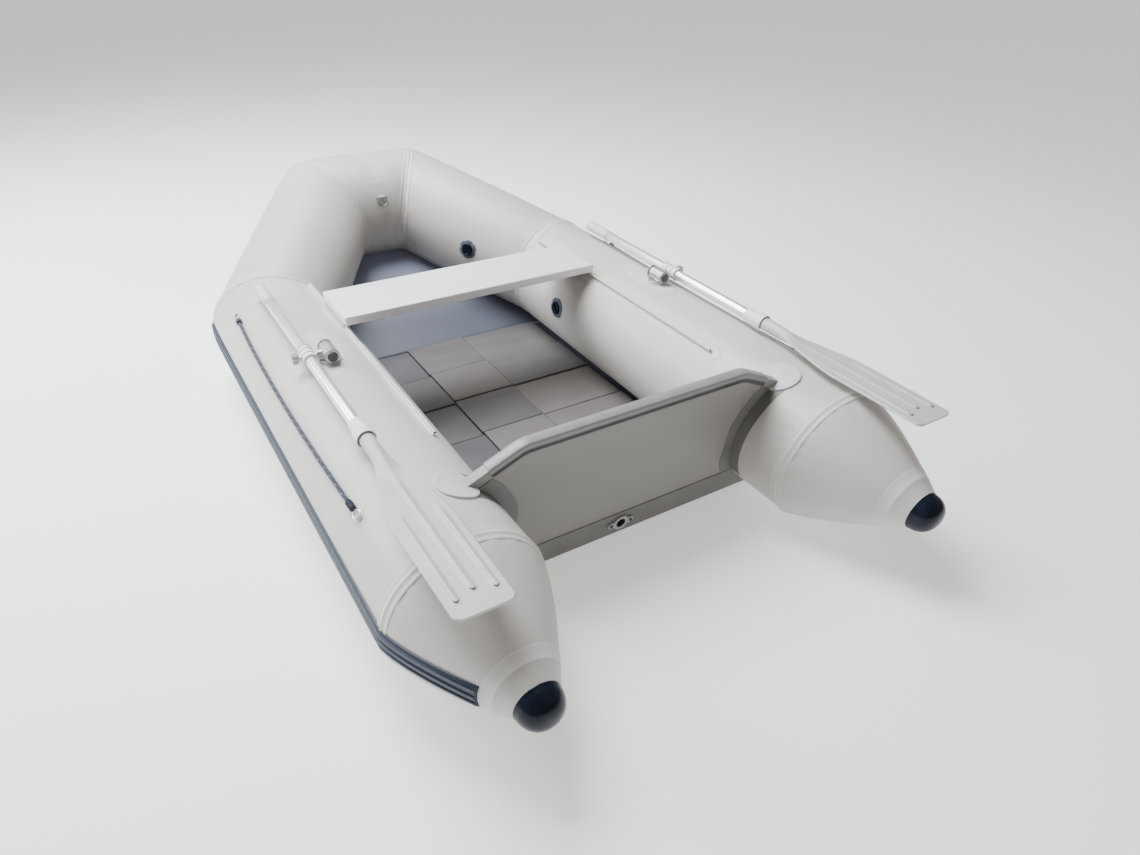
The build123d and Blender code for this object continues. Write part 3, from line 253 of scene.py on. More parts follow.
# %% [markdown]
# ## Two ways to make a piece
# Most pieces here are skins over rows of points: a tube, a tape, a strake, a blade. So the first helper
# turns rows of points into a mesh. The others put a finished piece in its place: it gets its finish, it
# rides on a moving body of the frame, and it stands for the plain solids that it hides.


# %% Helpers: skins and places
def skin(name, rows, around=True, ends=False):
    """A mesh over rows of points; around joins each row's last point to its first, ends closes the tube."""
    mesh = bpy.data.meshes.new(name)
    count = len(rows[0])
    points = [tuple(p) for row in rows for p in row]
    faces = []
    for i in range(len(rows) - 1):
        for j in range(count if around else count - 1):
            k = (j + 1) % count
            faces.append((i * count + j, i * count + k, (i + 1) * count + k, (i + 1) * count + j))
    if ends:
        faces.append(tuple(range(count)))
        faces.append(tuple(range((len(rows) - 1) * count, len(rows) * count)))
    mesh.from_pydata(points, [], faces)
    piece = bpy.data.objects.new(name, mesh)
    bpy.context.scene.collection.objects.link(piece)
    tidy_normals(piece)
    return piece


def tidy_normals(piece, sharp=35):
    """Faces point outward, and only edges sharper than the angle stay sharp."""
    work = bmesh.new()
    work.from_mesh(piece.data)
    bmesh.ops.remove_doubles(work, verts=work.verts, dist=1e-6)
    bmesh.ops.recalc_face_normals(work, faces=work.faces)
    for face in work.faces:
        face.smooth = True
    for edge in work.edges:
        edge.smooth = len(edge.link_faces) != 2 or edge.calc_face_angle(0) < math.radians(sharp)
    work.to_mesh(piece.data)
    work.free()


def place(piece, body, material, slot, *stands_for):
    """Finishes a piece and lets it ride on its body."""
    if material:
        piece.data.materials.clear()
        piece.data.materials.append(material)
    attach(piece, body)
    if stands_for:
        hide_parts(*stands_for)
    return piece


def port_copy(piece, name):
    """The mirrored twin of a starboard piece."""
    twin = piece.copy()
    twin.data = piece.data.copy()
    twin.name = name
    for key in list(twin.keys()):
        del twin[key]
    twin.parent = None
    twin.data.transform(Matrix.Scale(-1, 4, (1, 0, 0)))
    twin.data.flip_normals()
    bpy.context.scene.collection.objects.link(twin)
    return twin


def both_sides(piece, body, material, slot, *stands_for):
    """Places a starboard piece and its mirrored twin, whose names follow from the starboard ones."""
    twin = port_copy(piece, piece.name.replace("starboard", "port"))
    place(piece, body, material, slot, *stands_for)
    port_nodes = [node.replace("starboard", "port") for node in stands_for]
    place(twin, body.replace("starboard", "port"), material, slot, *port_nodes)


def joined(name, pieces):
    """Several meshes made into one piece, keeping their finishes."""
    bpy.ops.object.select_all(action="DESELECT")
    for piece in pieces:
        piece.select_set(True)
    bpy.context.view_layer.objects.active = pieces[0]
    bpy.ops.object.join()
    pieces[0].name = name
    return pieces[0]


def recolour(node, material):
    """A measured solid whose shape is already right only gets its finish."""
    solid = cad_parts[node]
    solid.data.materials.clear()
    solid.data.materials.append(material)


# %% [markdown]
# Round pieces such as knobs, collars, caps and pins are turned: a half profile spun about an axis. The
# profile is a list of (distance along the axis, radius).


# %% Helper: turning
def around(centre, across, other, radius, sides):
    """Points round a circle that is given by its centre and two directions."""
    turns = [2 * math.pi * i / sides for i in range(sides)]
    return [centre + (across * math.cos(a) + other * math.sin(a)) * radius for a in turns]


def turned(name, profile, origin, axis, sides=48, ends=True):
    """A piece turned about an axis through origin; ends closes its two end circles."""
    axis = Vector(axis).normalized()
    across = axis.orthogonal().normalized()
    other = axis.cross(across)
    rows = []
    for along, radius in profile:
        centre = Vector(origin) + axis * along
        rows.append(around(centre, across, other, max(radius, 1e-5), sides))
    return skin(name, rows, ends=ends)


def softened(start, end, radius, edge):
    """Profile of a plain round bar with rounded rims."""
    steps = [math.pi / 2 * i / 4 for i in range(5)]
    head = [(start + edge * (1 - math.sin(a)), radius - edge * (1 - math.cos(a))) for a in reversed(steps)]
    tail = [(end - edge * (1 - math.sin(a)), radius - edge * (1 - math.cos(a))) for a in steps]
    return head + tail


# %% [markdown]
# ## The tubes' framework
# Half of the boat is a chain of straight air chambers: side tube, diagonal, and half of the front panel.
# Two neighbours meet in a mitre plane. Every skin, tape and strake on them is drawn in the same way: a
# place along the panel, an angle round it and a height above the fabric. The angle is counted from a
# direction that is carried round each bend without twisting, so a line drawn along the boat meets
# itself at every mitre.

# %% Panels of the starboard half
TUBE_R, TUBE_X, TUBE_Z = 0.173, 0.502, 0.174
CONE_END_R = 0.046
stern = Vector((TUBE_X, TRANSOM_Y - 0.400, TUBE_Z + 0.017))
knuckle = Vector((TUBE_X, TRANSOM_Y - 0.139, TUBE_Z))
bend = Vector((TUBE_X, TRANSOM_Y + 1.165, TUBE_Z))
corner = Vector((0.158, TRANSOM_Y + 1.649, TUBE_Z + 0.155))
middle = Vector((0, corner.y, corner.z))


def panel(start, end, cut_start, cut_end, out):
    """A straight air chamber between two mitre planes."""
    run = (end - start).normalized()
    return {"start": start, "run": run, "length": (end - start).length, "cuts": (cut_start, cut_end),
            "out": out, "up": run.cross(out) * -1}


forward, inward = Vector((0, 1, 0)), Vector((-1, 0, 0))
slant = (corner - bend).normalized()
bend_cut, corner_cut = (forward + slant).normalized(), (slant + inward).normalized()
out_side = Vector((1, 0, 0))
out_slant = forward.rotation_difference(slant) @ out_side
out_front = slant.rotation_difference(inward) @ out_slant
side_panel = panel(knuckle, bend, forward, bend_cut, out_side)
slant_panel = panel(bend, corner, bend_cut, corner_cut, out_slant)
front_panel = panel(corner, middle, corner_cut, inward, out_front)
for made in (side_panel, slant_panel, front_panel):
    if made["up"].z < 0:
        made["up"] = made["up"] * -1
    made["bends"] = []
# The outer side of each bend is drawn in, because the cloth takes the short way round the corner.
outer_bend, outer_corner = (forward - slant).normalized(), (slant - inward).normalized()
steep_bend, steep_corner = math.tan(forward.angle(slant) / 2), math.tan(slant.angle(inward) / 2)
side_panel["bends"] = [(1, outer_bend, steep_bend * 0.6)]
slant_panel["bends"] = [(0, outer_bend, steep_bend * 0.6), (1, outer_corner, steep_corner * 0.9)]
front_panel["bends"] = [(0, outer_corner, steep_corner * 0.9)]
print("panels", [round(p["length"], 3) for p in (side_panel, slant_panel, front_panel)])


# %% Helper: a point on a panel
def on_panel(where, angle, lift, share=None, after=None, before=None):
    """A point on a panel: by share of its length, or metres after its first or before its last seam."""
    spoke = where["out"] * math.cos(angle) + where["up"] * math.sin(angle)
    reach = TUBE_R + lift
    for seam, outer, steepness in where["bends"]:
        if after is not None:
            distance = after if seam == 0 else where["length"]
        elif before is not None:
            distance = before if seam == 1 else where["length"]
        else:
            distance = abs(share - seam) * where["length"]
        reach -= (math.hypot(distance, 0.030) - distance) * steepness * max(0, spoke.dot(outer))
    first = -reach * spoke.dot(where["cuts"][0]) / where["run"].dot(where["cuts"][0])
    last = where["length"] - reach * spoke.dot(where["cuts"][1]) / where["run"].dot(where["cuts"][1])
    if after is not None:
        along = first + after
    elif before is not None:
        along = last - before
    else:
        along = first + (last - first) * share
    return where["start"] + where["run"] * along + spoke * reach


def on_cone(angle, lift, share):
    """A point on the stern cone: share 0 at the knuckle, 1 at the cap. Air pressure rounds it out."""
    centre = knuckle.lerp(stern, share)
    reach = TUBE_R + (CONE_END_R - TUBE_R) * share ** 1.3 + lift
    return centre + Vector((math.cos(angle), 0, math.sin(angle))) * reach


# %% [markdown]
# ## Air tubes
# Fabric that is blown up tight is nearly smooth, but not quite. It stands a little fuller between its
# seams, and at each seam the glued edges gather it into short puckers that fade within a hand's width,
# most on the inside of a bend where there is too much cloth. Both are small lifts of the skin, added
# while its points are laid out.


# %% Helper: puckers at a seam
def pucker(angle, distance, amount, seed):
    """Lift of the fabric near a seam, in metres."""
    fade = math.exp(-((distance / 0.045) ** 2))
    waves = noise.noise(Vector((math.cos(angle) * 6, math.sin(angle) * 6, seed)))
    fine = math.sin(angle * 34 + 5 * waves)
    return amount * fade * (0.6 * fine + 0.8 * waves)


SIDES = 144
angles = [2 * math.pi * i / SIDES for i in range(SIDES)]


def eased(count):
    """Shares from 0 to 1, closer together near both ends."""
    return [0.5 - 0.5 * math.cos(math.pi * i / (count - 1)) for i in range(count)]


def panel_rows(where, count, seed, inside=math.pi):
    """Rows of points round a panel, with its puckers."""
    rows = []
    for share in eased(count):
        row = []
        for angle in angles:
            near = min(share, 1 - share) * where["length"]
            slack = 0.4 + 0.6 * max(0, math.cos(angle - inside))
            fuller = 0.0016 * math.sin(math.pi * share)
            spot = Vector((math.cos(angle) * 2, math.sin(angle) * 2, share * 6 + seed))
            ripple = 0.0006 * noise.noise(spot)
            lift = fuller + ripple + pucker(angle, near, 0.0015 * slack, seed)
            row.append(on_panel(where, angle, lift, share=share))
        rows.append(row)
    return rows


# %% Side tubes with their stern cones
CONE_LENGTH = 0.26
cone_rows = []
for share in reversed(eased(40)):
    from_knuckle, from_cap = share * CONE_LENGTH, (1 - share) * CONE_LENGTH
    lift = [pucker(a, from_knuckle, 0.0014, 3.0) + pucker(a, from_cap, 0.0006, 7.0) for a in angles]
    cone_rows.append([on_cone(a, h, share) for a, h in zip(angles, lift)])
side_rows = panel_rows(side_panel, 110, 1.0)
side_tube = skin("starboard_tube_skin", cone_rows[:-1] + side_rows)
tidy_normals(side_tube, sharp=60)
both_sides(side_tube, "hull", tube_fabric, "tube_fabric", "starboard_side_tube")
print("side tube", len(side_tube.data.vertices), "points")

# %% Bow tube
half_bow = panel_rows(slant_panel, 60, 2.0)[:-1] + panel_rows(front_panel, 24, 4.0)
bow_skin = skin("bow_half", half_bow)
bow_twin = port_copy(bow_skin, "bow_half_port")
bow_tube = joined("bow_tube_skin", [bow_skin, bow_twin])
tidy_normals(bow_tube, sharp=60)
place(bow_tube, "hull", tube_fabric, "tube_fabric", "bow_tube", "chamber_baffles")

# %% [markdown]
# ## Seam tapes
# Where two panels meet, a tape is glued over the joint. It follows the mitre round the tube, its edges
# wander by a fraction of a millimetre, and the thick seam under it shows as a ridge along the middle.
# The band is a closed loop of a small cross-section: metres from the seam, and height.

# %% Seam tapes
TAPE_PROFILE = [(-17.2, -0.4), (-16.9, 1.2), (-15.6, 1.8), (-12.8, 1.8), (-11.4, 1.2), (-4.2, 1.2),
                (-2.2, 2.6), (0.0, 3.1),
                (2.2, 2.6), (4.2, 1.2), (11.4, 1.2), (12.8, 1.8), (15.6, 1.8), (16.9, 1.2), (17.2, -0.4)]


def wander(angle, seed):
    """How far a glued edge strays, in metres."""
    return 0.0007 * noise.noise(Vector((math.cos(angle) * 3, math.sin(angle) * 3, seed)))


def seam_tape(name, point, seed):
    """point(angle, metres from the seam, height) says where the tape lies."""
    rows = []
    for offset, height in TAPE_PROFILE:
        rows.append([point(a, offset / 1000 + wander(a, seed), height / 1000) for a in angles])
    return skin(name, rows)


def at_knuckle(angle, distance, height):
    if distance > 0:
        return on_panel(side_panel, angle, height, after=distance)
    return on_cone(angle, height, -distance / 0.261)


def at_bend(angle, distance, height):
    if distance > 0:
        return on_panel(slant_panel, angle, height, after=distance)
    return on_panel(side_panel, angle, height, before=-distance)


def at_corner(angle, distance, height):
    if distance > 0:
        return on_panel(front_panel, angle, height, after=distance)
    return on_panel(slant_panel, angle, height, before=-distance)


tapes = [seam_tape("knuckle tape", at_knuckle, 1), seam_tape("bend tape", at_bend, 2),
         seam_tape("corner tape", at_corner, 3)]

# %% [markdown]
# Ahead of each stern cap a wider band stiffens the cone's end. It is laid on in the same way, and its
# forward edge is where the rub strake stops.

# %% Stern collars
COLLAR = [(0.776, -0.3), (0.778, 0.9), (0.786, 1.3), (0.80, 1.1), (0.86, 1.2), (0.865, 1.8), (0.872, 1.8),
          (0.877, 1.1), (0.96, 1.2), (0.998, 1.2), (1.0, 0.2)]
collar_rows = [[on_cone(a, height / 1000 + 0.3 * wander(a, 5),
                        share + wander(a, 6)) for a in angles] for share, height in COLLAR]
tapes.append(skin("stern collar", collar_rows))
tape_group = joined("seam_tapes_starboard", tapes)
both_sides(tape_group, "hull", tape_fabric, "tape_fabric", "seam_tapes")
print("tapes", len(tape_group.data.vertices), "points a side")

# %% [markdown]
# ## Rub strake
# An extruded rubbing strip runs round the widest line of the boat: a flat base with three ribs. It is
# one cross-section drawn along the same panels, from a square end at the collar to the middle of the
# bow. The ribs' crests are a little lighter, which is a second finish on the faces there.

# %% Rub strake
STRAKE = [(-28.0, 0.6), (-27.6, 3.6), (-26.0, 4.6)]
for rib in (-18.0, 0.0, 18.0):
    STRAKE += [(rib - 4.6, 4.8), (rib - 3.6, 7.0), (rib - 1.8, 7.9), (rib + 1.8, 7.9), (rib + 3.6, 7.0),
               (rib + 4.6, 4.8)]
STRAKE += [(26.0, 4.6), (27.6, 3.6), (28.0, 0.6)]
strake_rows = []
for i in range(25):
    share = 0.772 * (1 - i / 24)
    row = []
    for offset, height in STRAKE:
        centre = knuckle.lerp(stern, share)
        reach = (on_cone(0, height / 1000, share) - centre).length
        angle = math.asin(offset / 1000 / reach)
        row.append(on_cone(angle, height / 1000, share))
    strake_rows.append(row)
for where, count in ((side_panel, 40), (slant_panel, 30), (front_panel, 12)):
    for i in range(1, count + 1):
        row = []
        for offset, height in STRAKE:
            angle = math.asin(offset / 1000 / (TUBE_R + height / 1000))
            row.append(on_panel(where, angle, height / 1000, share=i / count))
        strake_rows.append(row)
strake = skin("rub_strake_starboard", strake_rows, ends=True)
crest = finish("strake crest", (0.014, 0.027, 0.058), (0.024, 0.040, 0.078),
               0.03, (0.4, 0.55), relief=0.002, depth=0.0002)
strake.data.materials.append(strake_rubber)
strake.data.materials.append(crest)
profile_count = len(STRAKE)
crests = {3 + 6 * rib + step for rib in range(3) for step in (1, 2, 3)}
for face in strake.data.polygons:
    spans = sorted(v % profile_count for v in face.vertices)
    if len(spans) == 4 and spans[0] in crests and spans[-1] - spans[0] == 1:
        face.material_index = 1
both_sides(strake, "hull", None, "strake_rubber", "starboard_rub_strake")

# %% [markdown]
# ## Stern caps
# A glossy moulded cap closes each cone. It is turned, a little blunter than a hemisphere, with a rim that
# grips the fabric.

# %% Stern caps
cap_profile = [(-0.004, 0.0450), (-0.002, 0.0478), (0.001, 0.0480), (0.003, 0.0472)]
for i in range(1, 15):
    a = math.pi / 2 * i / 14
    cap_profile.append((0.004 + 0.0415 * math.sin(a), 0.0468 * math.cos(a) ** 0.82))
cap = turned("starboard_cap", cap_profile, stern, (0, -1, 0), 64)
both_sides(cap, "hull", navy_moulding, "navy_moulding", "starboard_stern_cap")

# %% [markdown]
# ## Pieces that lie on a tube
# Patches, pads and discs are glued to the round tube, so they are drawn flat and then wrapped. A flat
# point (across, along) goes to the angle that its distance across makes on the tube.


# %% Helper: wrapping onto the side tube
def wrapped(across, along, height, lean):
    """A point on the side tube: metres across from the line at lean degrees inboard of the top."""
    angle = math.radians(lean) + across / TUBE_R
    reach = TUBE_R + height
    return Vector((TUBE_X - reach * math.sin(angle), along, TUBE_Z + reach * math.cos(angle)))


def wrapped_pad(name, lean, station, outline, profile):
    """A pad: outline(angle) gives (across, along); its profile is (share of the outline, height)."""
    rows = []
    for share, height in profile:
        row = []
        for i in range(96):
            across, along = outline(2 * math.pi * i / 96)
            row.append(wrapped(across * share, station + along * share, height, lean))
        rows.append(row)
    return skin(name, rows, ends=True)


# %% Corner discs over the transom's ends
def disc_outline(a):
    return 0.046 * math.cos(a), 0.046 * math.sin(a)


DISC = [(1.0, -0.001), (1.0, 0.0035), (0.985, 0.0050), (0.95, 0.0056), (0.90, 0.0052), (0.5, 0.0046),
        (0.04, 0.0044)]
disc = wrapped_pad("starboard_corner_disc", 20.7, TRANSOM_Y + 0.012, disc_outline, DISC)
both_sides(disc, "hull", pale_plastic, "tape_fabric", "transom_corner_discs")

# %% [markdown]
# ## Floor
# The bottom is one sheet of coated fabric. It is flat under the boards and slopes up into the bow, with
# its edges glued under the tubes. Only the bow part is seen from inside, and foot traffic leaves it
# slightly crowned. It is a grid whose rows reach just inside the tubes' skins, so the join is closed.

# %% Bottom fabric
FLOOR_Z = 0.0056
crease = TRANSOM_Y + 1.102
slope = math.tan(math.radians(21.4))


def half_width(y, z):
    """How far from the centreline the sheet reaches before it is well under a tube."""
    reach = 0.02
    while reach < 0.47:
        point = Vector((reach, y, z))
        side = Vector((point.x - TUBE_X, 0, point.z - TUBE_Z)).length
        t = max(0, (point - bend).dot(slant))
        diagonal = (point - bend - slant * t).length
        if min(side, diagonal) < TUBE_R - 0.004:
            return reach
        reach += 0.002
    return 0.47


bow_rows = []
for i in range(41):
    y = crease + (TRANSOM_Y + 1.590 - crease) * i / 40
    z = FLOOR_Z + (y - crease) * slope
    width = half_width(y, z)
    row = []
    for j in range(41):
        x = width * (j / 20 - 1)
        crown = 0.006 * (1 - (x / width) ** 2) * math.sin(math.pi * i / 40)
        crown += 0.0015 * noise.noise(Vector((x * 9, y * 9, 2)))
        row.append(Vector((x, y, z + crown)))
    bow_rows.append(row)
bow_floor = skin("bow_floor", bow_rows, around=False)
shell = bow_floor.modifiers.new("thickness", "SOLIDIFY")
shell.thickness, shell.offset = 0.0012, -1
place(bow_floor, "hull", floor_fabric, "bottom_fabric", "bow_bottom_fabric")

# %% Flat part of the bottom
SHEET_HALF = 0.459
flat_rows = []
aft = TRANSOM_Y + 0.028
for i in range(61):
    y = aft + (crease - aft) * i / 60
    row = []
    for j in range(41):
        x = SHEET_HALF * (j / 20 - 1)
        sag = -0.0006 - 0.0006 * noise.noise(Vector((x * 7, y * 7, 9)))
        row.append(Vector((x, y, FLOOR_Z + sag)))
    flat_rows.append(row)
bottom = skin("bottom_sheet", flat_rows, around=False)
shell = bottom.modifiers.new("thickness", "SOLIDIFY")
shell.thickness, shell.offset = 0.0012, -1
place(bottom, "hull", floor_fabric, "bottom_fabric", "bottom_fabric")

# %% [markdown]
# The floor boards lie loose in pockets, in three columns with a step between one column and the next.
# Each is a board with softened edges. They never lie quite level or quite square, so each one gets its
# own small tilt, shift and tone.


# %% Helper: a board
def board(name, low, high, edge, tilt=(0, 0, 0)):
    """A box with rounded edges, tilted a little about its own middle."""
    mesh = bpy.data.meshes.new(name)
    work = bmesh.new()
    bmesh.ops.create_cube(work, size=1)
    size = [b - a for a, b in zip(low, high)]
    bmesh.ops.scale(work, vec=size, verts=work.verts)
    bmesh.ops.bevel(work, geom=list(work.edges), offset=edge, segments=3, affect="EDGES", profile=0.6)
    work.to_mesh(mesh)
    work.free()
    centre = Vector([(a + b) / 2 for a, b in zip(low, high)])
    mesh.transform(Matrix.Translation(centre) @ Euler(tilt).to_matrix().to_4x4())
    piece = bpy.data.objects.new(name, mesh)
    bpy.context.scene.collection.objects.link(piece)
    tidy_normals(piece)
    return piece


# %% Floor boards
PITCH, GAP, BOARD = 0.183, 0.003, 0.012
tones = {"port": (2, 1, 1, 2, 1, 2), "centre": (1, 0, 1, 0, 1, 1), "starboard": (1, 1, 0, 0, 1, 1)}
shifts = {"port": -0.014, "centre": 0.0, "starboard": -0.004}
for name, (x0, x1) in {"port": (-0.390, -0.107), "centre": (-0.102, 0.103),
                       "starboard": (0.1045, 0.390)}.items():
    for row in range(6):
        fore = TRANSOM_Y + 1.097 - row * PITCH + shifts[name]
        aft_edge = fore - PITCH + GAP if row < 5 else TRANSOM_Y + 0.061
        wobble = noise.noise(Vector((x0 * 10, row * 3.1, 0.5)))
        rise = 0.0065 + 0.0012 * (wobble + 0.5) + (0.0040 if row in (1, 3) else 0)
        fore -= 0.004 if row in (1, 3) else 0
        tilt = (0.006 * wobble, 0.004 * noise.noise(Vector((x0 * 7, row, 4))), 0.006 * wobble)
        made = board(f"floor_board_{name}_{row + 1}", (x0, aft_edge, rise), (x1, fore, rise + BOARD), 0.0022,
                     tilt)
        place(made, "hull", board_tones[tones[name][row]], "floor_board", "floor_slats_" + name)
print("18 floor boards")

# %% [markdown]
# ## Transom
# The board itself is flat and its measured outline is right, so it only needs its painted finish. The
# edge trim is a soft channel pushed over the top edge. It is drawn as one rounded cross-section that
# follows the edge, with fillets at the knees. The strip along the bottom and the gussets that join the
# board to the tubes also keep their measured shapes.

# %% Transom board, band and gussets
recolour("transom_board", transom_paint)
recolour("transom_bottom_band", band_fabric)
recolour("transom_gussets", gusset_fabric)

# %% Helper: the trim's route along the top edge
KNEE_X, KNEE_Z, END_X, END_DROP, RAKE = 0.297, 0.390, 0.376, 0.0358, math.radians(4)
aft_way = Vector((0, -math.cos(RAKE), -math.sin(RAKE)))
up_way = Vector((0, -math.sin(RAKE), math.cos(RAKE)))


def edge_route():
    """Points (x, drop) along the top edge with rounded knees, port to starboard."""
    bend_angle = math.atan2(END_DROP, END_X - KNEE_X)
    radius = 0.085
    tangent = radius * math.tan(bend_angle / 2)
    right_side = []
    for i in range(9):
        a = bend_angle * i / 8
        right_side.append((KNEE_X - tangent + radius * math.sin(a), -radius * (1 - math.cos(a))))
    last = right_side[-1]
    for i in range(1, 8):
        share = i / 7
        right_side.append((last[0] + (END_X - last[0]) * share, last[1] + (-END_DROP - last[1]) * share))
    flat = [(x / 10 * (KNEE_X - tangent), 0.0) for x in range(-9, 10)]
    return [(-x, z) for x, z in reversed(right_side)] + flat + right_side


# %% Transom trim
THICK = 0.022
# (distance aft of the board's aft face, height above its edge)
TRIM = [(-THICK - 0.0030, -0.0185), (-THICK - 0.0034, -0.010), (-THICK - 0.0030, 0.0),
        (-THICK - 0.0012, 0.0030),
        (-THICK + 0.004, 0.0044), (-THICK / 2, 0.0048), (-0.004, 0.0044), (0.0012, 0.0030), (0.0030, 0.0),
        (0.0034, -0.009),
        (0.0031, -0.0150), (0.0046, -0.0158), (0.0046, -0.0200), (0.0020, -0.0212), (0.0002, -0.0208),
        (0.0002, -0.001),
        (-THICK - 0.0002, -0.001), (-THICK - 0.0002, -0.0185)]
route = edge_route()
origin = Vector((0, TRANSOM_Y, KNEE_Z))
trim_rows = []
for i, (x, drop) in enumerate(route):
    before, after = route[max(i - 1, 0)], route[min(i + 1, len(route) - 1)]
    along = Vector((after[0] - before[0], after[1] - before[1])).normalized()
    normal = Vector((-along.y, along.x))
    row = []
    for depth, height in TRIM:
        foot = origin + Vector((1, 0, 0)) * (x + normal.x * height) + up_way * (drop + normal.y * height)
        row.append(foot + aft_way * depth)
    trim_rows.append(row)
trim = skin("transom_edge_trim", trim_rows, ends=True)
trim.data.materials.append(trim_plastic)
trim.data.materials.append(trim_painted_shade)
# The faces of the lower lip take the painted shade.
for face in trim.data.polygons:
    spans = sorted(v % len(TRIM) for v in face.vertices)
    if len(spans) == 4 and spans[0] in (9, 10, 11, 12) and spans[-1] - spans[0] == 1:
        face.material_index = 1
place(trim, "hull", None, "trim_plastic", "transom_trim")
print("trim length", round(sum((Vector(a) - Vector(b)).length for a, b in zip(route, route[1:])), 3))

# %% Drain
recolour("drain_body", fitting_plastic)
recolour("drain_screws", dark_plastic)
recolour("drain_plug", navy_moulding)
drain_down = (0.041 - KNEE_Z) / math.cos(RAKE)
drain_face = origin + up_way * drain_down + aft_way * 0.0061
lining = [(-0.0180, 0.0123), (-0.0180, 0.0117), (0.0, 0.0118), (0.0005, 0.0130), (0.0003, 0.0136),
          (-0.0006, 0.0136), (-0.0180, 0.0123)]
drain_lining = turned("drain_lining", lining, drain_face, aft_way, 40, ends=False)
place(drain_lining, "hull", dark_plastic, "fitting_plastic")

# %% [markdown]
# ## Seat and its rails
# The bench is a painted plank with softened edges. It hangs by two hooks from a bead rail on each tube.
# The rail is welded on with a wide base strip whose end is rounded. The bead's bore is open at the end,
# and the shade inside it is painted as a dark disc.

# %% Seat plank
low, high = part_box("seat_plank")
seat = board("seat_bench", low, high, 0.0032)
place(seat, "seat", seat_paint, "seat_board", "seat_plank")
recolour("seat_screws", steel)
for side in ("port", "starboard"):
    recolour(side + "_seat_hook", fitting_plastic)
print("seat", [round(b - a, 3) for a, b in zip(low, high)])

# %% Rails
RAIL_LEAN = 35.9
rail_low, rail_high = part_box("starboard_seat_rail")
aft_end, fore_end = rail_low.y, rail_high.y
BASE = [(-22.0, -0.4), (-21.4, 1.0), (-20.0, 1.5), (-8.0, 1.6), (-3.4, 2.4), (-1.4, 4.6), (-1.3, 6.4),
        (-2.9, 7.9), (-3.5, 9.5),
        (-2.5, 12.0), (0.0, 13.0), (2.5, 12.0), (3.5, 9.5), (2.9, 7.9), (1.3, 6.4), (1.4, 4.6), (3.4, 2.4),
        (8.0, 1.6),
        (20.0, 1.5), (21.4, 1.0), (22.0, -0.4)]
rail_rows = []
for i in range(61):
    y = aft_end + (fore_end - aft_end) * i / 60
    rail_rows.append([wrapped(across / 1000, y, height / 1000, RAIL_LEAN) for across, height in BASE])
rail = skin("starboard_rail", rail_rows, ends=True)
both_sides(rail, "hull", tape_fabric, "fitting_plastic", "starboard_seat_rail")
bead_centre = wrapped(0, aft_end, 0.0095, RAIL_LEAN)
# A dark disc at the bead's open end: painted shade inside the bore.
bore = turned("starboard_rail_bore", [(-0.0004, 0.0021), (0.0006, 0.0021)], bead_centre, (0, 1, 0), 24)
both_sides(bore, "hull", dark_plastic, "fitting_plastic")


# %% Rail end pads and rope patches
def rounded_end(a):
    across, along = 0.0235 * math.cos(a), 0.034 * math.sin(a)
    return across, (along if along < 0 else along * 0.25)


PATCH = [(1.0, -0.0004), (0.995, 0.0008), (0.97, 0.0012), (0.5, 0.0014), (0.05, 0.0016)]
rail_pad = wrapped_pad("starboard_rail_pad", RAIL_LEAN, aft_end - 0.0005, rounded_end, PATCH)
both_sides(rail_pad, "hull", tape_fabric, "tape_fabric", "glued_patches")


def ring_patch_outline(a):
    return 0.016 * math.cos(a), 0.016 * math.sin(a)


# (metres ahead of the transom, lean in degrees)
RING_PLACES = [(0.056, -45.3), (1.018, -45.0)]
for number, (station, ring_lean) in enumerate(RING_PLACES, 1):
    patch = wrapped_pad(f"starboard_rope_patch_{number}", ring_lean, TRANSOM_Y + station, ring_patch_outline,
                        PATCH)
    foot = wrapped(0, TRANSOM_Y + station, 0.0065, ring_lean)
    across = (wrapped(0.001, 0, 0, ring_lean) - wrapped(-0.001, 0, 0, ring_lean)).normalized()
    strap = turned(f"strap_{number}", [(-0.006, 0.0032), (-0.0055, 0.0040), (0.0055, 0.0040),
                                       (0.006, 0.0032)], foot, across, 24)
    out = (wrapped(0, 0, 0.1, ring_lean) - wrapped(0, 0, 0, ring_lean)).normalized()
    leg = turned(f"leg_{number}", [(-0.006, 0.0060), (-0.003, 0.0045), (0.0, 0.0036)], foot, out, 24)
    patch = joined(f"starboard_rope_patch_{number}", [patch, strap, leg])
    both_sides(patch, "hull", tape_fabric, "tape_fabric", "glued_patches")
recolour("rope_rings", steel)

# %% [markdown]
# ## Rowlocks
# Each rowlock is an oval pad welded to the tube with a swivel head on it. The head is a barrel with a
# dark ring at its forward end and a round button at its aft end. A cross pin goes from it through the
# oar's white collar to a star knob.

# %% Rowlock pads
PAD_LEAD = 0.037
swivel_y = TRANSOM_Y + 0.575


def pad_outline(a):
    return 0.042 * math.cos(a), 0.112 * math.sin(a)


def rim_outline(a):
    return 0.0436 * math.cos(a), 0.1136 * math.sin(a)


PAD = [(1.0, -0.001), (1.0, 0.0018), (0.985, 0.0027), (0.95, 0.0030), (0.5, 0.0031), (0.04, 0.0031)]
RIM = [(1.0, -0.0004), (0.998, 0.0007), (0.97, 0.0009), (0.9, 0.0009)]
socket_base = TUBE_Z + TUBE_R
for name, outline, shape, material in (("pad", pad_outline, PAD, pale_plastic),
                                       ("pad_rim", rim_outline, RIM, dark_plastic)):
    made = wrapped_pad("starboard_rowlock_" + name, 0, swivel_y + PAD_LEAD, outline, shape)
    if name == "pad":
        socket = turned("socket", softened(0.0, 0.0045, 0.030, 0.001), (TUBE_X, swivel_y, socket_base),
                        (0, 0, 1))
        made = joined("starboard_rowlock_pad", [made, socket])
    both_sides(made, "hull", material, "fitting_plastic", "rowlock_pads")

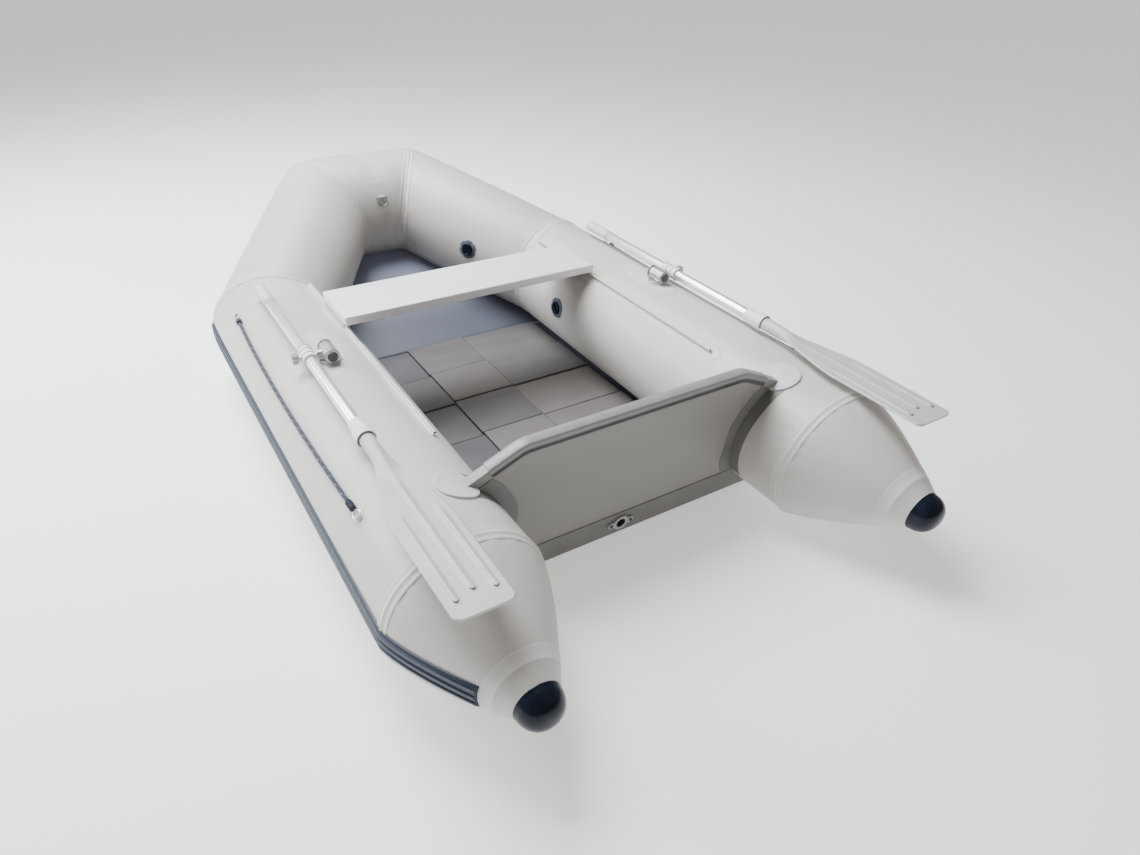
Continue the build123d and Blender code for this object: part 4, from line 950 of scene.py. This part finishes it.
# %% Swivel heads
OAR_X, OAR_Z = 0.553, 0.371
head = Vector((TUBE_X, swivel_y, OAR_Z))
half = 0.031  # half of the barrel's length
table_z = socket_base + 0.0048
barrel_profile = [(-half, 0.0150), (-half, 0.0172), (-half + 0.002, 0.0190), (half - 0.012, 0.0190),
                  (half - 0.0115, 0.0178), (half - 0.0045, 0.0178), (half - 0.004, 0.0190),
                  (half - 0.0015, 0.0186), (half, 0.0165)]
barrel_metal = finish("cast barrel", (0.44, 0.445, 0.455), (0.52, 0.525, 0.535),
                      0.02, (0.22, 0.34), relief=0.002, depth=0.0001, metal=0.6)
barrel = turned("barrel", barrel_profile, head, (0, 1, 0), 56)
table = turned("table", softened(0.0, 0.005, 0.027, 0.0012), (TUBE_X, swivel_y, table_z), (0, 0, 1), 56)
boss = turned("boss", [(0.010, 0.0100), (0.022, 0.0095), (0.0285, 0.0090), (0.029, 0.0080)], head, (1, 0, 0),
              40)
lug = board("lug", (TUBE_X - 0.007, swivel_y - 0.013, table_z + 0.002),
            (TUBE_X + 0.007, swivel_y + 0.013, OAR_Z), 0.002)
swivel = joined("starboard_swivel_head", [barrel, table, boss, lug])
ring = turned("starboard_swivel_ring", [(half - 0.0115, 0.0176), (half - 0.011, 0.0184),
                                        (half - 0.005, 0.0184), (half - 0.0045, 0.0176)], head, (0, 1, 0),
              56)
button = turned("starboard_swivel_button", [(-half - 0.004, 0.009), (-half - 0.0035, 0.0112),
                                            (-half - 0.001, 0.0125), (-half, 0.0125)], head, (0, 1, 0), 48)
for made, material in ((swivel, barrel_metal), (ring, dark_plastic), (button, dark_plastic)):
    both_sides(made, "starboard_swivel", material, "fitting_plastic", "starboard_rowlock_swivel")
recolour("starboard_oar_pin", steel)
recolour("port_oar_pin", steel)

# %% Star knobs
knob_start = OAR_X + 0.019 + 0.005
lobes = 96
knob_rows = []
for along, grow in [(-0.0028, -0.0050), (0.0, -0.0046), (0.0, -0.0016), (0.0015, -0.0003), (0.004, 0.0),
                    (0.010, 0.0), (0.0128, -0.0010), (0.014, -0.0032), (0.0141, -0.0075)]:
    row = []
    for i in range(lobes):
        a = 2 * math.pi * i / lobes
        radius = 0.0108 + 0.0021 * math.cos(6 * a) + grow
        row.append(Vector((knob_start + along, swivel_y + radius * math.cos(a),
                           OAR_Z + radius * math.sin(a))))
    knob_rows.append(row)
knob = skin("starboard_star_knob", knob_rows, ends=True)
both_sides(knob, "starboard_knob", fitting_plastic, "fitting_plastic", "starboard_oar_knob")

# %% [markdown]
# ## Oars
# An oar is a bright aluminium tube with a moulded grip at one end and a moulded blade at the other. A
# split cuff just above the blade throws water off. The blade is lofted: its sections change from the
# round neck to a thin plate with three ribs, and its width follows the outline of a shoulder, straight
# sides and a rounded tip.

# %% Shafts, grips and collars
def oar_turned(name, profile):
    """A piece turned about the oar's axis; distances count along the boat."""
    return turned(name, profile, (OAR_X, 0, OAR_Z), (0, 1, 0), 48)


def on_oar(y):
    """A point on the oar's centre line."""
    return Vector((OAR_X, y, OAR_Z))


shaft_low, shaft_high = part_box("starboard_oar_shaft")
shaft = oar_turned("starboard_shaft", softened(shaft_low.y, shaft_high.y, 0.014, 0.0008))
grip_low, grip_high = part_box("starboard_oar_grip")
g0, g1 = grip_low.y, grip_high.y
grip_profile = [(g0, 0.0142), (g0, 0.0152), (g0 + 0.002, 0.0156), (g0 + 0.004, 0.0156), (g0 + 0.005, 0.0148),
                (g0 + 0.007, 0.0148), (g0 + 0.009, 0.0154)]
for i in range(12):
    y = g0 + 0.020 + i * 0.007
    grip_profile += [(y - 0.0020, 0.0155), (y, 0.0150), (y + 0.0020, 0.0155)]
for i in range(9):
    a = math.pi / 2 * i / 8
    grip_profile.append((g1 - 0.010 + 0.010 * math.sin(a), 0.0055 + 0.0100 * math.cos(a)))
grip = oar_turned("starboard_grip", grip_profile)
grip_ring = oar_turned("starboard_grip_ring", [(g0 + 0.0048, 0.0140), (g0 + 0.0049, 0.0152),
                                               (g0 + 0.0071, 0.0152), (g0 + 0.0072, 0.0140)])
COLLAR_HALF = 0.029
# (distance from the end, radius)
collar_end = [(0, 0.0145), (0, 0.0182), (0.0008, 0.0190), (0.0034, 0.0190), (0.004, 0.0174), (0.012, 0.0171)]
collar_profile = [(-COLLAR_HALF + along, radius) for along, radius in collar_end]
collar_profile.append((0, 0.0170))
collar_profile += [(COLLAR_HALF - along, radius) for along, radius in reversed(collar_end)]
oar_collar = turned("starboard_collar", collar_profile, on_oar(swivel_y), (0, 1, 0), 48)
lines = []
for spot in (-0.010, 0.010):
    line_profile = [(spot - 0.0007, 0.0171), (spot - 0.0006, 0.0178), (spot + 0.0006, 0.0178),
                    (spot + 0.0007, 0.0171)]
    lines.append(turned(f"collar line {spot}", line_profile, on_oar(swivel_y), (0, 1, 0), 48))
collar_lines = joined("starboard_collar_lines", lines)
oar_pieces = [(shaft, oar_metal, "oar_tube", "oar_shaft"), (grip, grip_plastic, "grip_plastic", "oar_grip"),
              (grip_ring, dark_plastic, "grip_plastic", None),
              (oar_collar, white_plastic, "white_plastic", "oar_collar"),
              (collar_lines, dark_plastic, "white_plastic", None)]

# %% Blade
blade_low, blade_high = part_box("starboard_oar_blade")
tip, neck_end = blade_low.y, blade_high.y
shoulder, waist, round_end = TRANSOM_Y - 0.090, TRANSOM_Y + 0.150, TRANSOM_Y + 0.175
HALF, NECK_R, RIB_HEIGHT = 0.059, 0.0164, 0.0030
SIDE_RIB = 0.036
# Each rib: place across the blade, its end near the neck, its end near the tip.
RIBS = [(-SIDE_RIB, shoulder + 0.035, tip + 0.040), (0.0, shoulder + 0.150, tip + 0.052),
        (SIDE_RIB, shoulder + 0.035, tip + 0.040)]


def blade_half_width(y):
    """Half of the blade's width at a place along it."""
    if y > round_end:
        return NECK_R
    if y > shoulder:
        s = (y - shoulder) / (round_end - shoulder)
        s = s * s * (3 - 2 * s)
        return HALF + (NECK_R - HALF) * s ** 0.85
    width = HALF - 0.003 * (shoulder - y) / (shoulder - tip)
    from_tip = y - tip
    if from_tip < 0.014:
        d = 0.014 - from_tip
        width -= 0.014 - math.sqrt(max(0.014 ** 2 - d ** 2, 0.0))
    return width


def blade_height(x, y):
    """Half thickness of the blade, with its ribs."""
    height = 0.0030
    for rib, start, end in RIBS:
        near = math.exp(-(((x - rib) / 0.0048) ** 4))
        on = min(1, max(0, (start - y) / 0.03)) * min(1, max(0, (y - end + 0.004) / 0.004))
        height += RIB_HEIGHT * near * on
    return height


BLADE_SIDES = 120
blade_rows = []
stations = [tip + 0.014 * (1 - math.cos(math.pi / 2 * i / 12)) for i in range(13)]
y = stations[-1] + 0.004
while y < neck_end:
    stations.append(y)
    y += 0.004
stations.append(neck_end)
for y in stations:
    roundness = min(1, max(0, (y - (waist - 0.10)) / 0.11))
    roundness = roundness * roundness * (3 - 2 * roundness)
    width = blade_half_width(y)
    row = []
    for i in range(BLADE_SIDES):
        a = 2 * math.pi * i / BLADE_SIDES
        across = math.copysign(abs(math.cos(a)) ** 0.75, math.cos(a)) * width
        edge = min(1, (1 - abs(across) / max(width, 1e-6)) / 0.05) ** 0.5
        flat = math.copysign(blade_height(across, y) * edge, math.sin(a)) if abs(math.sin(a)) > 1e-9 else 0
        circle = NECK_R * math.sin(a)
        circle_across = NECK_R * math.cos(a)
        if y < waist and flat:
            swell = 0.0134 * math.exp(-(((y - waist) / 0.06) ** 2)) * math.exp(-((across / 0.012) ** 2))
            flat += math.copysign(swell, flat)
        x = OAR_X + across + (circle_across - across) * roundness
        z = OAR_Z + flat + (circle - flat) * roundness
        row.append(Vector((x, y, z)))
    blade_rows.append(row)
blade = skin("blade", blade_rows, ends=True)
bosses = []
for across, _, rib_end in RIBS:
    boss_profile = softened(-0.0064, 0.0064, 0.0052, 0.0012)
    bosses.append(turned(f"boss {across}", boss_profile, (OAR_X + across, rib_end, OAR_Z), (0, 0, 1), 24))
blade.name = "starboard_blade"
blade_studs = joined("starboard_blade_studs", bosses)
oar_pieces.append((blade, blade_plastic, "blade_plastic", "oar_blade"))
oar_pieces.append((blade_studs, fitting_plastic, "blade_plastic", None))
print("blade", len(blade.data.vertices), "points, length", round(neck_end - tip, 3))

# %% Cuff
cuff_low, cuff_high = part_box("starboard_oar_cuff")
c0, c1 = cuff_low.y, cuff_high.y
CUFF_TURN = math.radians(28)
cuff_rows = []
for i in range(25):
    share = i / 24
    y = c0 + (c1 - 0.016 - c0) * share
    outer = 0.0215 - 0.0045 * share ** 3
    row = []
    gap = math.radians(50) * (1 - 0.35 * share)
    for k in range(61):
        a = -math.pi / 2 + gap + (2 * math.pi - 2 * gap) * k / 60 + CUFF_TURN
        row.append(Vector((OAR_X + outer * math.cos(a), y, OAR_Z + outer * math.sin(a))))
    inner = outer - 0.0022
    for k in range(60, -1, -1):
        a = -math.pi / 2 + gap + (2 * math.pi - 2 * gap) * k / 60 + CUFF_TURN
        row.append(Vector((OAR_X + inner * math.cos(a), y, OAR_Z + inner * math.sin(a))))
    cuff_rows.append(row)
cuff = skin("cuff shell", cuff_rows, ends=True)
sleeve = oar_turned("cuff sleeve", [(c1 - 0.019, 0.0145), (c1 - 0.019, 0.0176), (c1 - 0.015, 0.0180),
                                    (c1 - 0.002, 0.0178), (c1, 0.0168), (c1, 0.0145)])
cuff = joined("starboard_cuff", [cuff, sleeve])

# %% Both oars
for made, material, slot_name, node in oar_pieces:
    stands_for = ["starboard_" + node] if node else []
    both_sides(made, "starboard_oar", material, slot_name, *stands_for)
port_cuff = cuff.copy()
port_cuff.data = cuff.data.copy()
port_cuff.name = "port_cuff"
port_cuff.data.transform(Matrix.Translation((-2 * OAR_X, 0, 0)))
bpy.context.scene.collection.objects.link(port_cuff)
place(cuff, "starboard_oar", white_plastic, "white_plastic", "starboard_oar_cuff")
place(port_cuff, "port_oar", white_plastic, "white_plastic", "port_oar_cuff")

# %% [markdown]
# ## Grab ropes
# A braided cord runs along the outside of each tube between two small rings. Its line is a smooth curve
# through the same route as the measured model. The braid is eight strands that wind round that line,
# half each way, rising and falling so that they pass over and under each other. One strand of the eight
# is paler, which gives the cord its flecks.

# %% The cord's line
ROPE_ROUTE = [(110, 46.0), (215, 47.6), (330, 48.8), (445, 49.6), (560, 49.9), (675, 49.6), (785, 48.8),
              (885, 47.5), (965, 45.8)]
ROPE_R = 0.005
reach = TUBE_R + ROPE_R + 0.0015


def rope_point(station, outboard):
    """A point of the cord: millimetres ahead of the transom, degrees outboard of the tube's top."""
    a = math.radians(outboard)
    return Vector((TUBE_X + reach * math.sin(a), TRANSOM_Y + station / 1000, TUBE_Z + reach * math.cos(a)))


def smooth_line(points):
    """Points read along a NURBS curve through the route."""
    curve = bpy.data.curves.new("line", "CURVE")
    curve.dimensions = "3D"
    spline = curve.splines.new("NURBS")
    spline.points.add(len(points) - 1)
    for target, point in zip(spline.points, points):
        target.co = (*point, 1)
    spline.order_u = 3
    spline.use_endpoint_u = True
    spline.resolution_u = 24
    holder = bpy.data.objects.new("line", curve)
    bpy.context.scene.collection.objects.link(holder)
    mesh = bpy.data.meshes.new_from_object(holder)
    line = [v.co.copy() for v in mesh.vertices]
    bpy.data.objects.remove(holder)
    return line


rope_line = smooth_line([rope_point(s, a) for s, a in ROPE_ROUTE])


# %% The braid
def even_steps(line, step):
    """The same line with points every step metres."""
    out, carry = [line[0]], 0.0
    for a, b in zip(line, line[1:]):
        span = (b - a).length
        while carry + span >= step:
            share = (step - carry) / span
            a = a.lerp(b, share)
            span = (b - a).length
            out.append(a.copy())
            carry = 0.0
        carry += span
    return out


def braid(name, line, radius, strands=8, lay=0.034, sides=6):
    """A plaited cord: half of its strands wind each way, passing over and under."""
    core = even_steps(line, 0.0014)
    pieces = []
    for strand in range(strands):
        way = 1 if strand % 2 else -1
        start = 2 * math.pi * (strand // 2) / (strands / 2)
        rows, travelled = [], 0.0
        for i, centre in enumerate(core):
            following, behind = core[min(i + 1, len(core) - 1)], core[max(i - 1, 0)]
            run = (following - behind).normalized()
            across = run.cross(Vector((0, 0, 1))).normalized()
            other = run.cross(across)
            a = start + way * 2 * math.pi * travelled / lay
            over = 0.00045 * math.cos(4 * 2 * math.pi * travelled / lay + (math.pi if way > 0 else 0))
            out = across * math.cos(a) + other * math.sin(a)
            spot = centre + out * (radius - 0.00165 + over)
            tangent_side = run.cross(out)
            rows.append([spot + out * (0.0011 * math.cos(t)) + tangent_side * (0.0021 * math.sin(t))
                         for t in [2 * math.pi * k / sides for k in range(sides)]])
            travelled += (following - centre).length
        made = skin(f"strand {strand}", rows, ends=True)
        made.data.materials.append(rope_fleck if strand == 1 else rope_navy)
        pieces.append(made)
    core_rows = []
    for i, centre in enumerate(core[::3]):
        index = i * 3
        run = (core[min(index + 1, len(core) - 1)] - core[max(index - 1, 0)]).normalized()
        across = run.cross(Vector((0, 0, 1))).normalized()
        other = run.cross(across)
        core_rows.append(around(centre, across, other, radius - 0.0018, 12))
    filling = skin("filling", core_rows, ends=True)
    filling.data.materials.append(rope_navy)
    return joined(name, [filling] + pieces)


rope = braid("starboard_rope", rope_line, ROPE_R)
rope_twin = port_copy(rope, "port_rope")
print("braid", len(rope.data.vertices), "points")

# %% [markdown]
# The cord's ends are whipped: seized with fine twine for an inch, which makes them thicker and stiff. The
# forward end is knotted at its ring.

# %% Whippings and knots
def whipping(name, start, direction, length, radius):
    """Fine twine wound close round the cord."""
    turns = int(length / 0.0016)
    profile = [(0.0, radius - 0.0020)]
    for i in range(turns):
        y = length * (i + 0.5) / turns
        profile += [(y - 0.0006, radius - 0.0005), (y, radius), (y + 0.0006, radius - 0.0005)]
    profile += [(length, radius - 0.0012), (length + 0.0012, radius - 0.0035)]
    return turned(name, profile, start, direction, 24)


back = (rope_line[0] - rope_line[1]).normalized()
onward = (rope_line[-1] - rope_line[-2]).normalized()
aft_whip = whipping("whipping", rope_line[0], back, 0.0248, 0.0072)
knot_centre = rope_line[-1] + onward * 0.011
STRAND_R = 0.0036
coils = []
for i in range(3):
    coil_rows = []
    for k in range(36):
        a = 2 * math.pi * k / 36
        coil_axis = (onward + Vector((0.25 * (i - 1), 0, 0.3 * (i - 1)))).normalized()
        across = coil_axis.orthogonal().normalized()
        other = coil_axis.cross(across)
        out = across * math.cos(a) + other * math.sin(a)
        centre = knot_centre + onward * (0.0058 * (i - 1)) + out * 0.0048
        coil_rows.append(around(centre, out, coil_axis, STRAND_R, 12))
    coil_rows.append(coil_rows[0])
    coils.append(skin(f"coil {i}", coil_rows))
ends = joined("starboard_rope_ends", [aft_whip] + coils)
ends.data.materials.clear()
ends_twin = port_copy(ends, "port_rope_ends")
for made, cord, side, sign in ((ends, rope, "starboard", 1), (ends_twin, rope_twin, "port", -1)):
    place(made, "hull", rope_navy, "rope_navy", "rope_ends")
    place(cord, "hull", None, "rope_navy", side + "_grab_rope")

# %% [markdown]
# ## Air valves
# Each chamber has a valve: a flange with notches for the fitting key, and a cap with a bar to turn it by.
# The flange is a ring whose rim dips in at six places.

# %% Valves
SIDE_VALVE, BOW_VALVE, BOW_SHARE = math.radians(85), math.radians(84), 0.42
side_facing = Vector((-math.sin(SIDE_VALVE), 0, math.cos(SIDE_VALVE)))
side_spot = Vector((TUBE_X, TRANSOM_Y + 0.844, TUBE_Z)) + side_facing * TUBE_R
level_in = slant.cross(Vector((0, 0, 1))).normalized() * -1
upward = level_in.cross(slant).normalized()
if upward.z < 0:
    upward = upward * -1
bow_facing = (level_in * math.sin(BOW_VALVE) + upward * math.cos(BOW_VALVE)).normalized()
flip = Matrix.Scale(-1, 3, (1, 0, 0))
valve_seats = {
    "starboard": (side_spot, side_facing),
    "port": (flip @ side_spot, flip @ side_facing),
    "bow": (bend + (corner - bend) * BOW_SHARE + bow_facing * TUBE_R, bow_facing),
}
print("bow valve at", [round(v, 4) for v in valve_seats["bow"][0]])
NOTCHES, NOTCH_DEPTH = 6, 0.0034
for name, (valve_seat, facing) in valve_seats.items():
    across = facing.orthogonal().normalized()
    other = facing.cross(across)
    rows = []
    for radius, height in [(0.0320, -0.006), (0.0322, 0.0008), (0.0314, 0.0030), (0.0296, 0.0036),
                           (0.0250, 0.0036), (0.0228, 0.0044), (0.0212, 0.0044), (0.0206, 0.0030),
                           (0.0205, -0.004)]:
        row = []
        for i in range(144):
            a = 2 * math.pi * i / 144
            from_notch = (a * NOTCHES / (2 * math.pi)) % 1 - 0.5
            rim_only = min(1, max(0, (radius - 0.024) / 0.006))
            notch = math.exp(-((from_notch / 0.10) ** 2)) * NOTCH_DEPTH * rim_only
            spoke = across * math.cos(a) + other * math.sin(a)
            row.append(valve_seat + facing * height + spoke * (radius - notch))
        rows.append(row)
    flange = skin(f"valve_flange_{name}", rows)
    cup = turned("cup", [(-0.010, 0.0205), (-0.009, 0.0202), (0.0005, 0.0202)], valve_seat, facing, 48)
    flange = joined(f"valve_flange_{name}", [flange, cup])
    place(flange, "hull", valve_ring, "navy_moulding", "valve_bodies")
    lid_profile = [(0.0030, 0.0120), (0.0038, 0.0188), (0.0042, 0.0198), (0.0080, 0.0198), (0.0088, 0.0190),
                   (0.0088, 0.0150), (0.0078, 0.0140), (0.0077, 0.0005)]
    lid = turned("lid", lid_profile, valve_seat, facing, 64)
    grip_bar = board("bar", (-0.0155, -0.0024, 0.0074), (0.0155, 0.0024, 0.0112), 0.0012)
    grip_bar.data.transform(Matrix.Translation(valve_seat) @ Matrix((across, other,
                                                                     facing)).transposed().to_4x4())
    lid = joined(f"valve_lid_{name}", [lid, grip_bar])
    tidy_normals(lid)
    place(lid, name + "_valve_lid", navy_moulding, "navy_moulding", "valve_cap_" + name)
    recolour("valve_poppet_" + name, fitting_plastic)

# %% [markdown]
# ## Bow ring
# A stainless D-ring hangs on a round patch inside the bow. The ring keeps its measured shape and gets
# its metal. The patch is a thin round of fabric with a sewn strap through which the ring's bar passes.

# %% Bow ring and patch
ring_steel = finish("dull steel", (0.26, 0.26, 0.27), (0.34, 0.34, 0.35),
                    0.01, (0.3, 0.4), relief=0.001, depth=0.00003, metal=0.8)
recolour("bow_ring", ring_steel)
recolour("bow_ring_patch", tube_fabric)

# %% [markdown]
# ## Floor and light
# The boat stands on a plain pale floor. Soft light comes from a very large overhead panel, a large panel
# on the port bow side, which gives the tubes their bright shoulders, and an even pale sky.

# %% Floor and light
bpy.ops.mesh.primitive_plane_add(size=60, location=(0, 0, -0.0013))
ground = bpy.context.object
ground.name = "studio_floor"
paper = finish("studio paper", (0.86, 0.86, 0.86), (0.89, 0.89, 0.89),
               2.0, (0.8, 0.9), relief=0.02, depth=0.0001)
paper.node_tree.nodes["Principled BSDF"].inputs["Emission Color"].default_value = (1, 1, 1, 1)
paper.node_tree.nodes["Principled BSDF"].inputs["Emission Strength"].default_value = 0.56
ground.data.materials.append(paper)
world = bpy.data.worlds.new("studio")
bpy.context.scene.world = world
world.use_nodes = True
world.node_tree.nodes["Background"].inputs["Color"].default_value = (1.0, 0.935, 0.855, 1)
world.node_tree.nodes["Background"].inputs["Strength"].default_value = 0.30


def panel_light(name, location, target, size, power):
    """A round soft light turned towards a target."""
    lamp = bpy.data.lights.new(name, "AREA")
    lamp.shape, lamp.size, lamp.energy = "DISK", size, power
    lamp.color = (0.93, 0.965, 1.0)
    holder = bpy.data.objects.new(name, lamp)
    bpy.context.scene.collection.objects.link(holder)
    holder.location = location
    holder.rotation_euler = (Vector(target) - Vector(location)).to_track_quat("-Z", "Y").to_euler()
    return holder


panel_light("overhead", (-0.6, 1.3, 3.3), (0, 0, 0.1), 2.4, 305)
panel_light("bow_side", (-2.8, 2.0, 2.0), (0, 0.2, 0.2), 2.0, 160)
print("lights set")
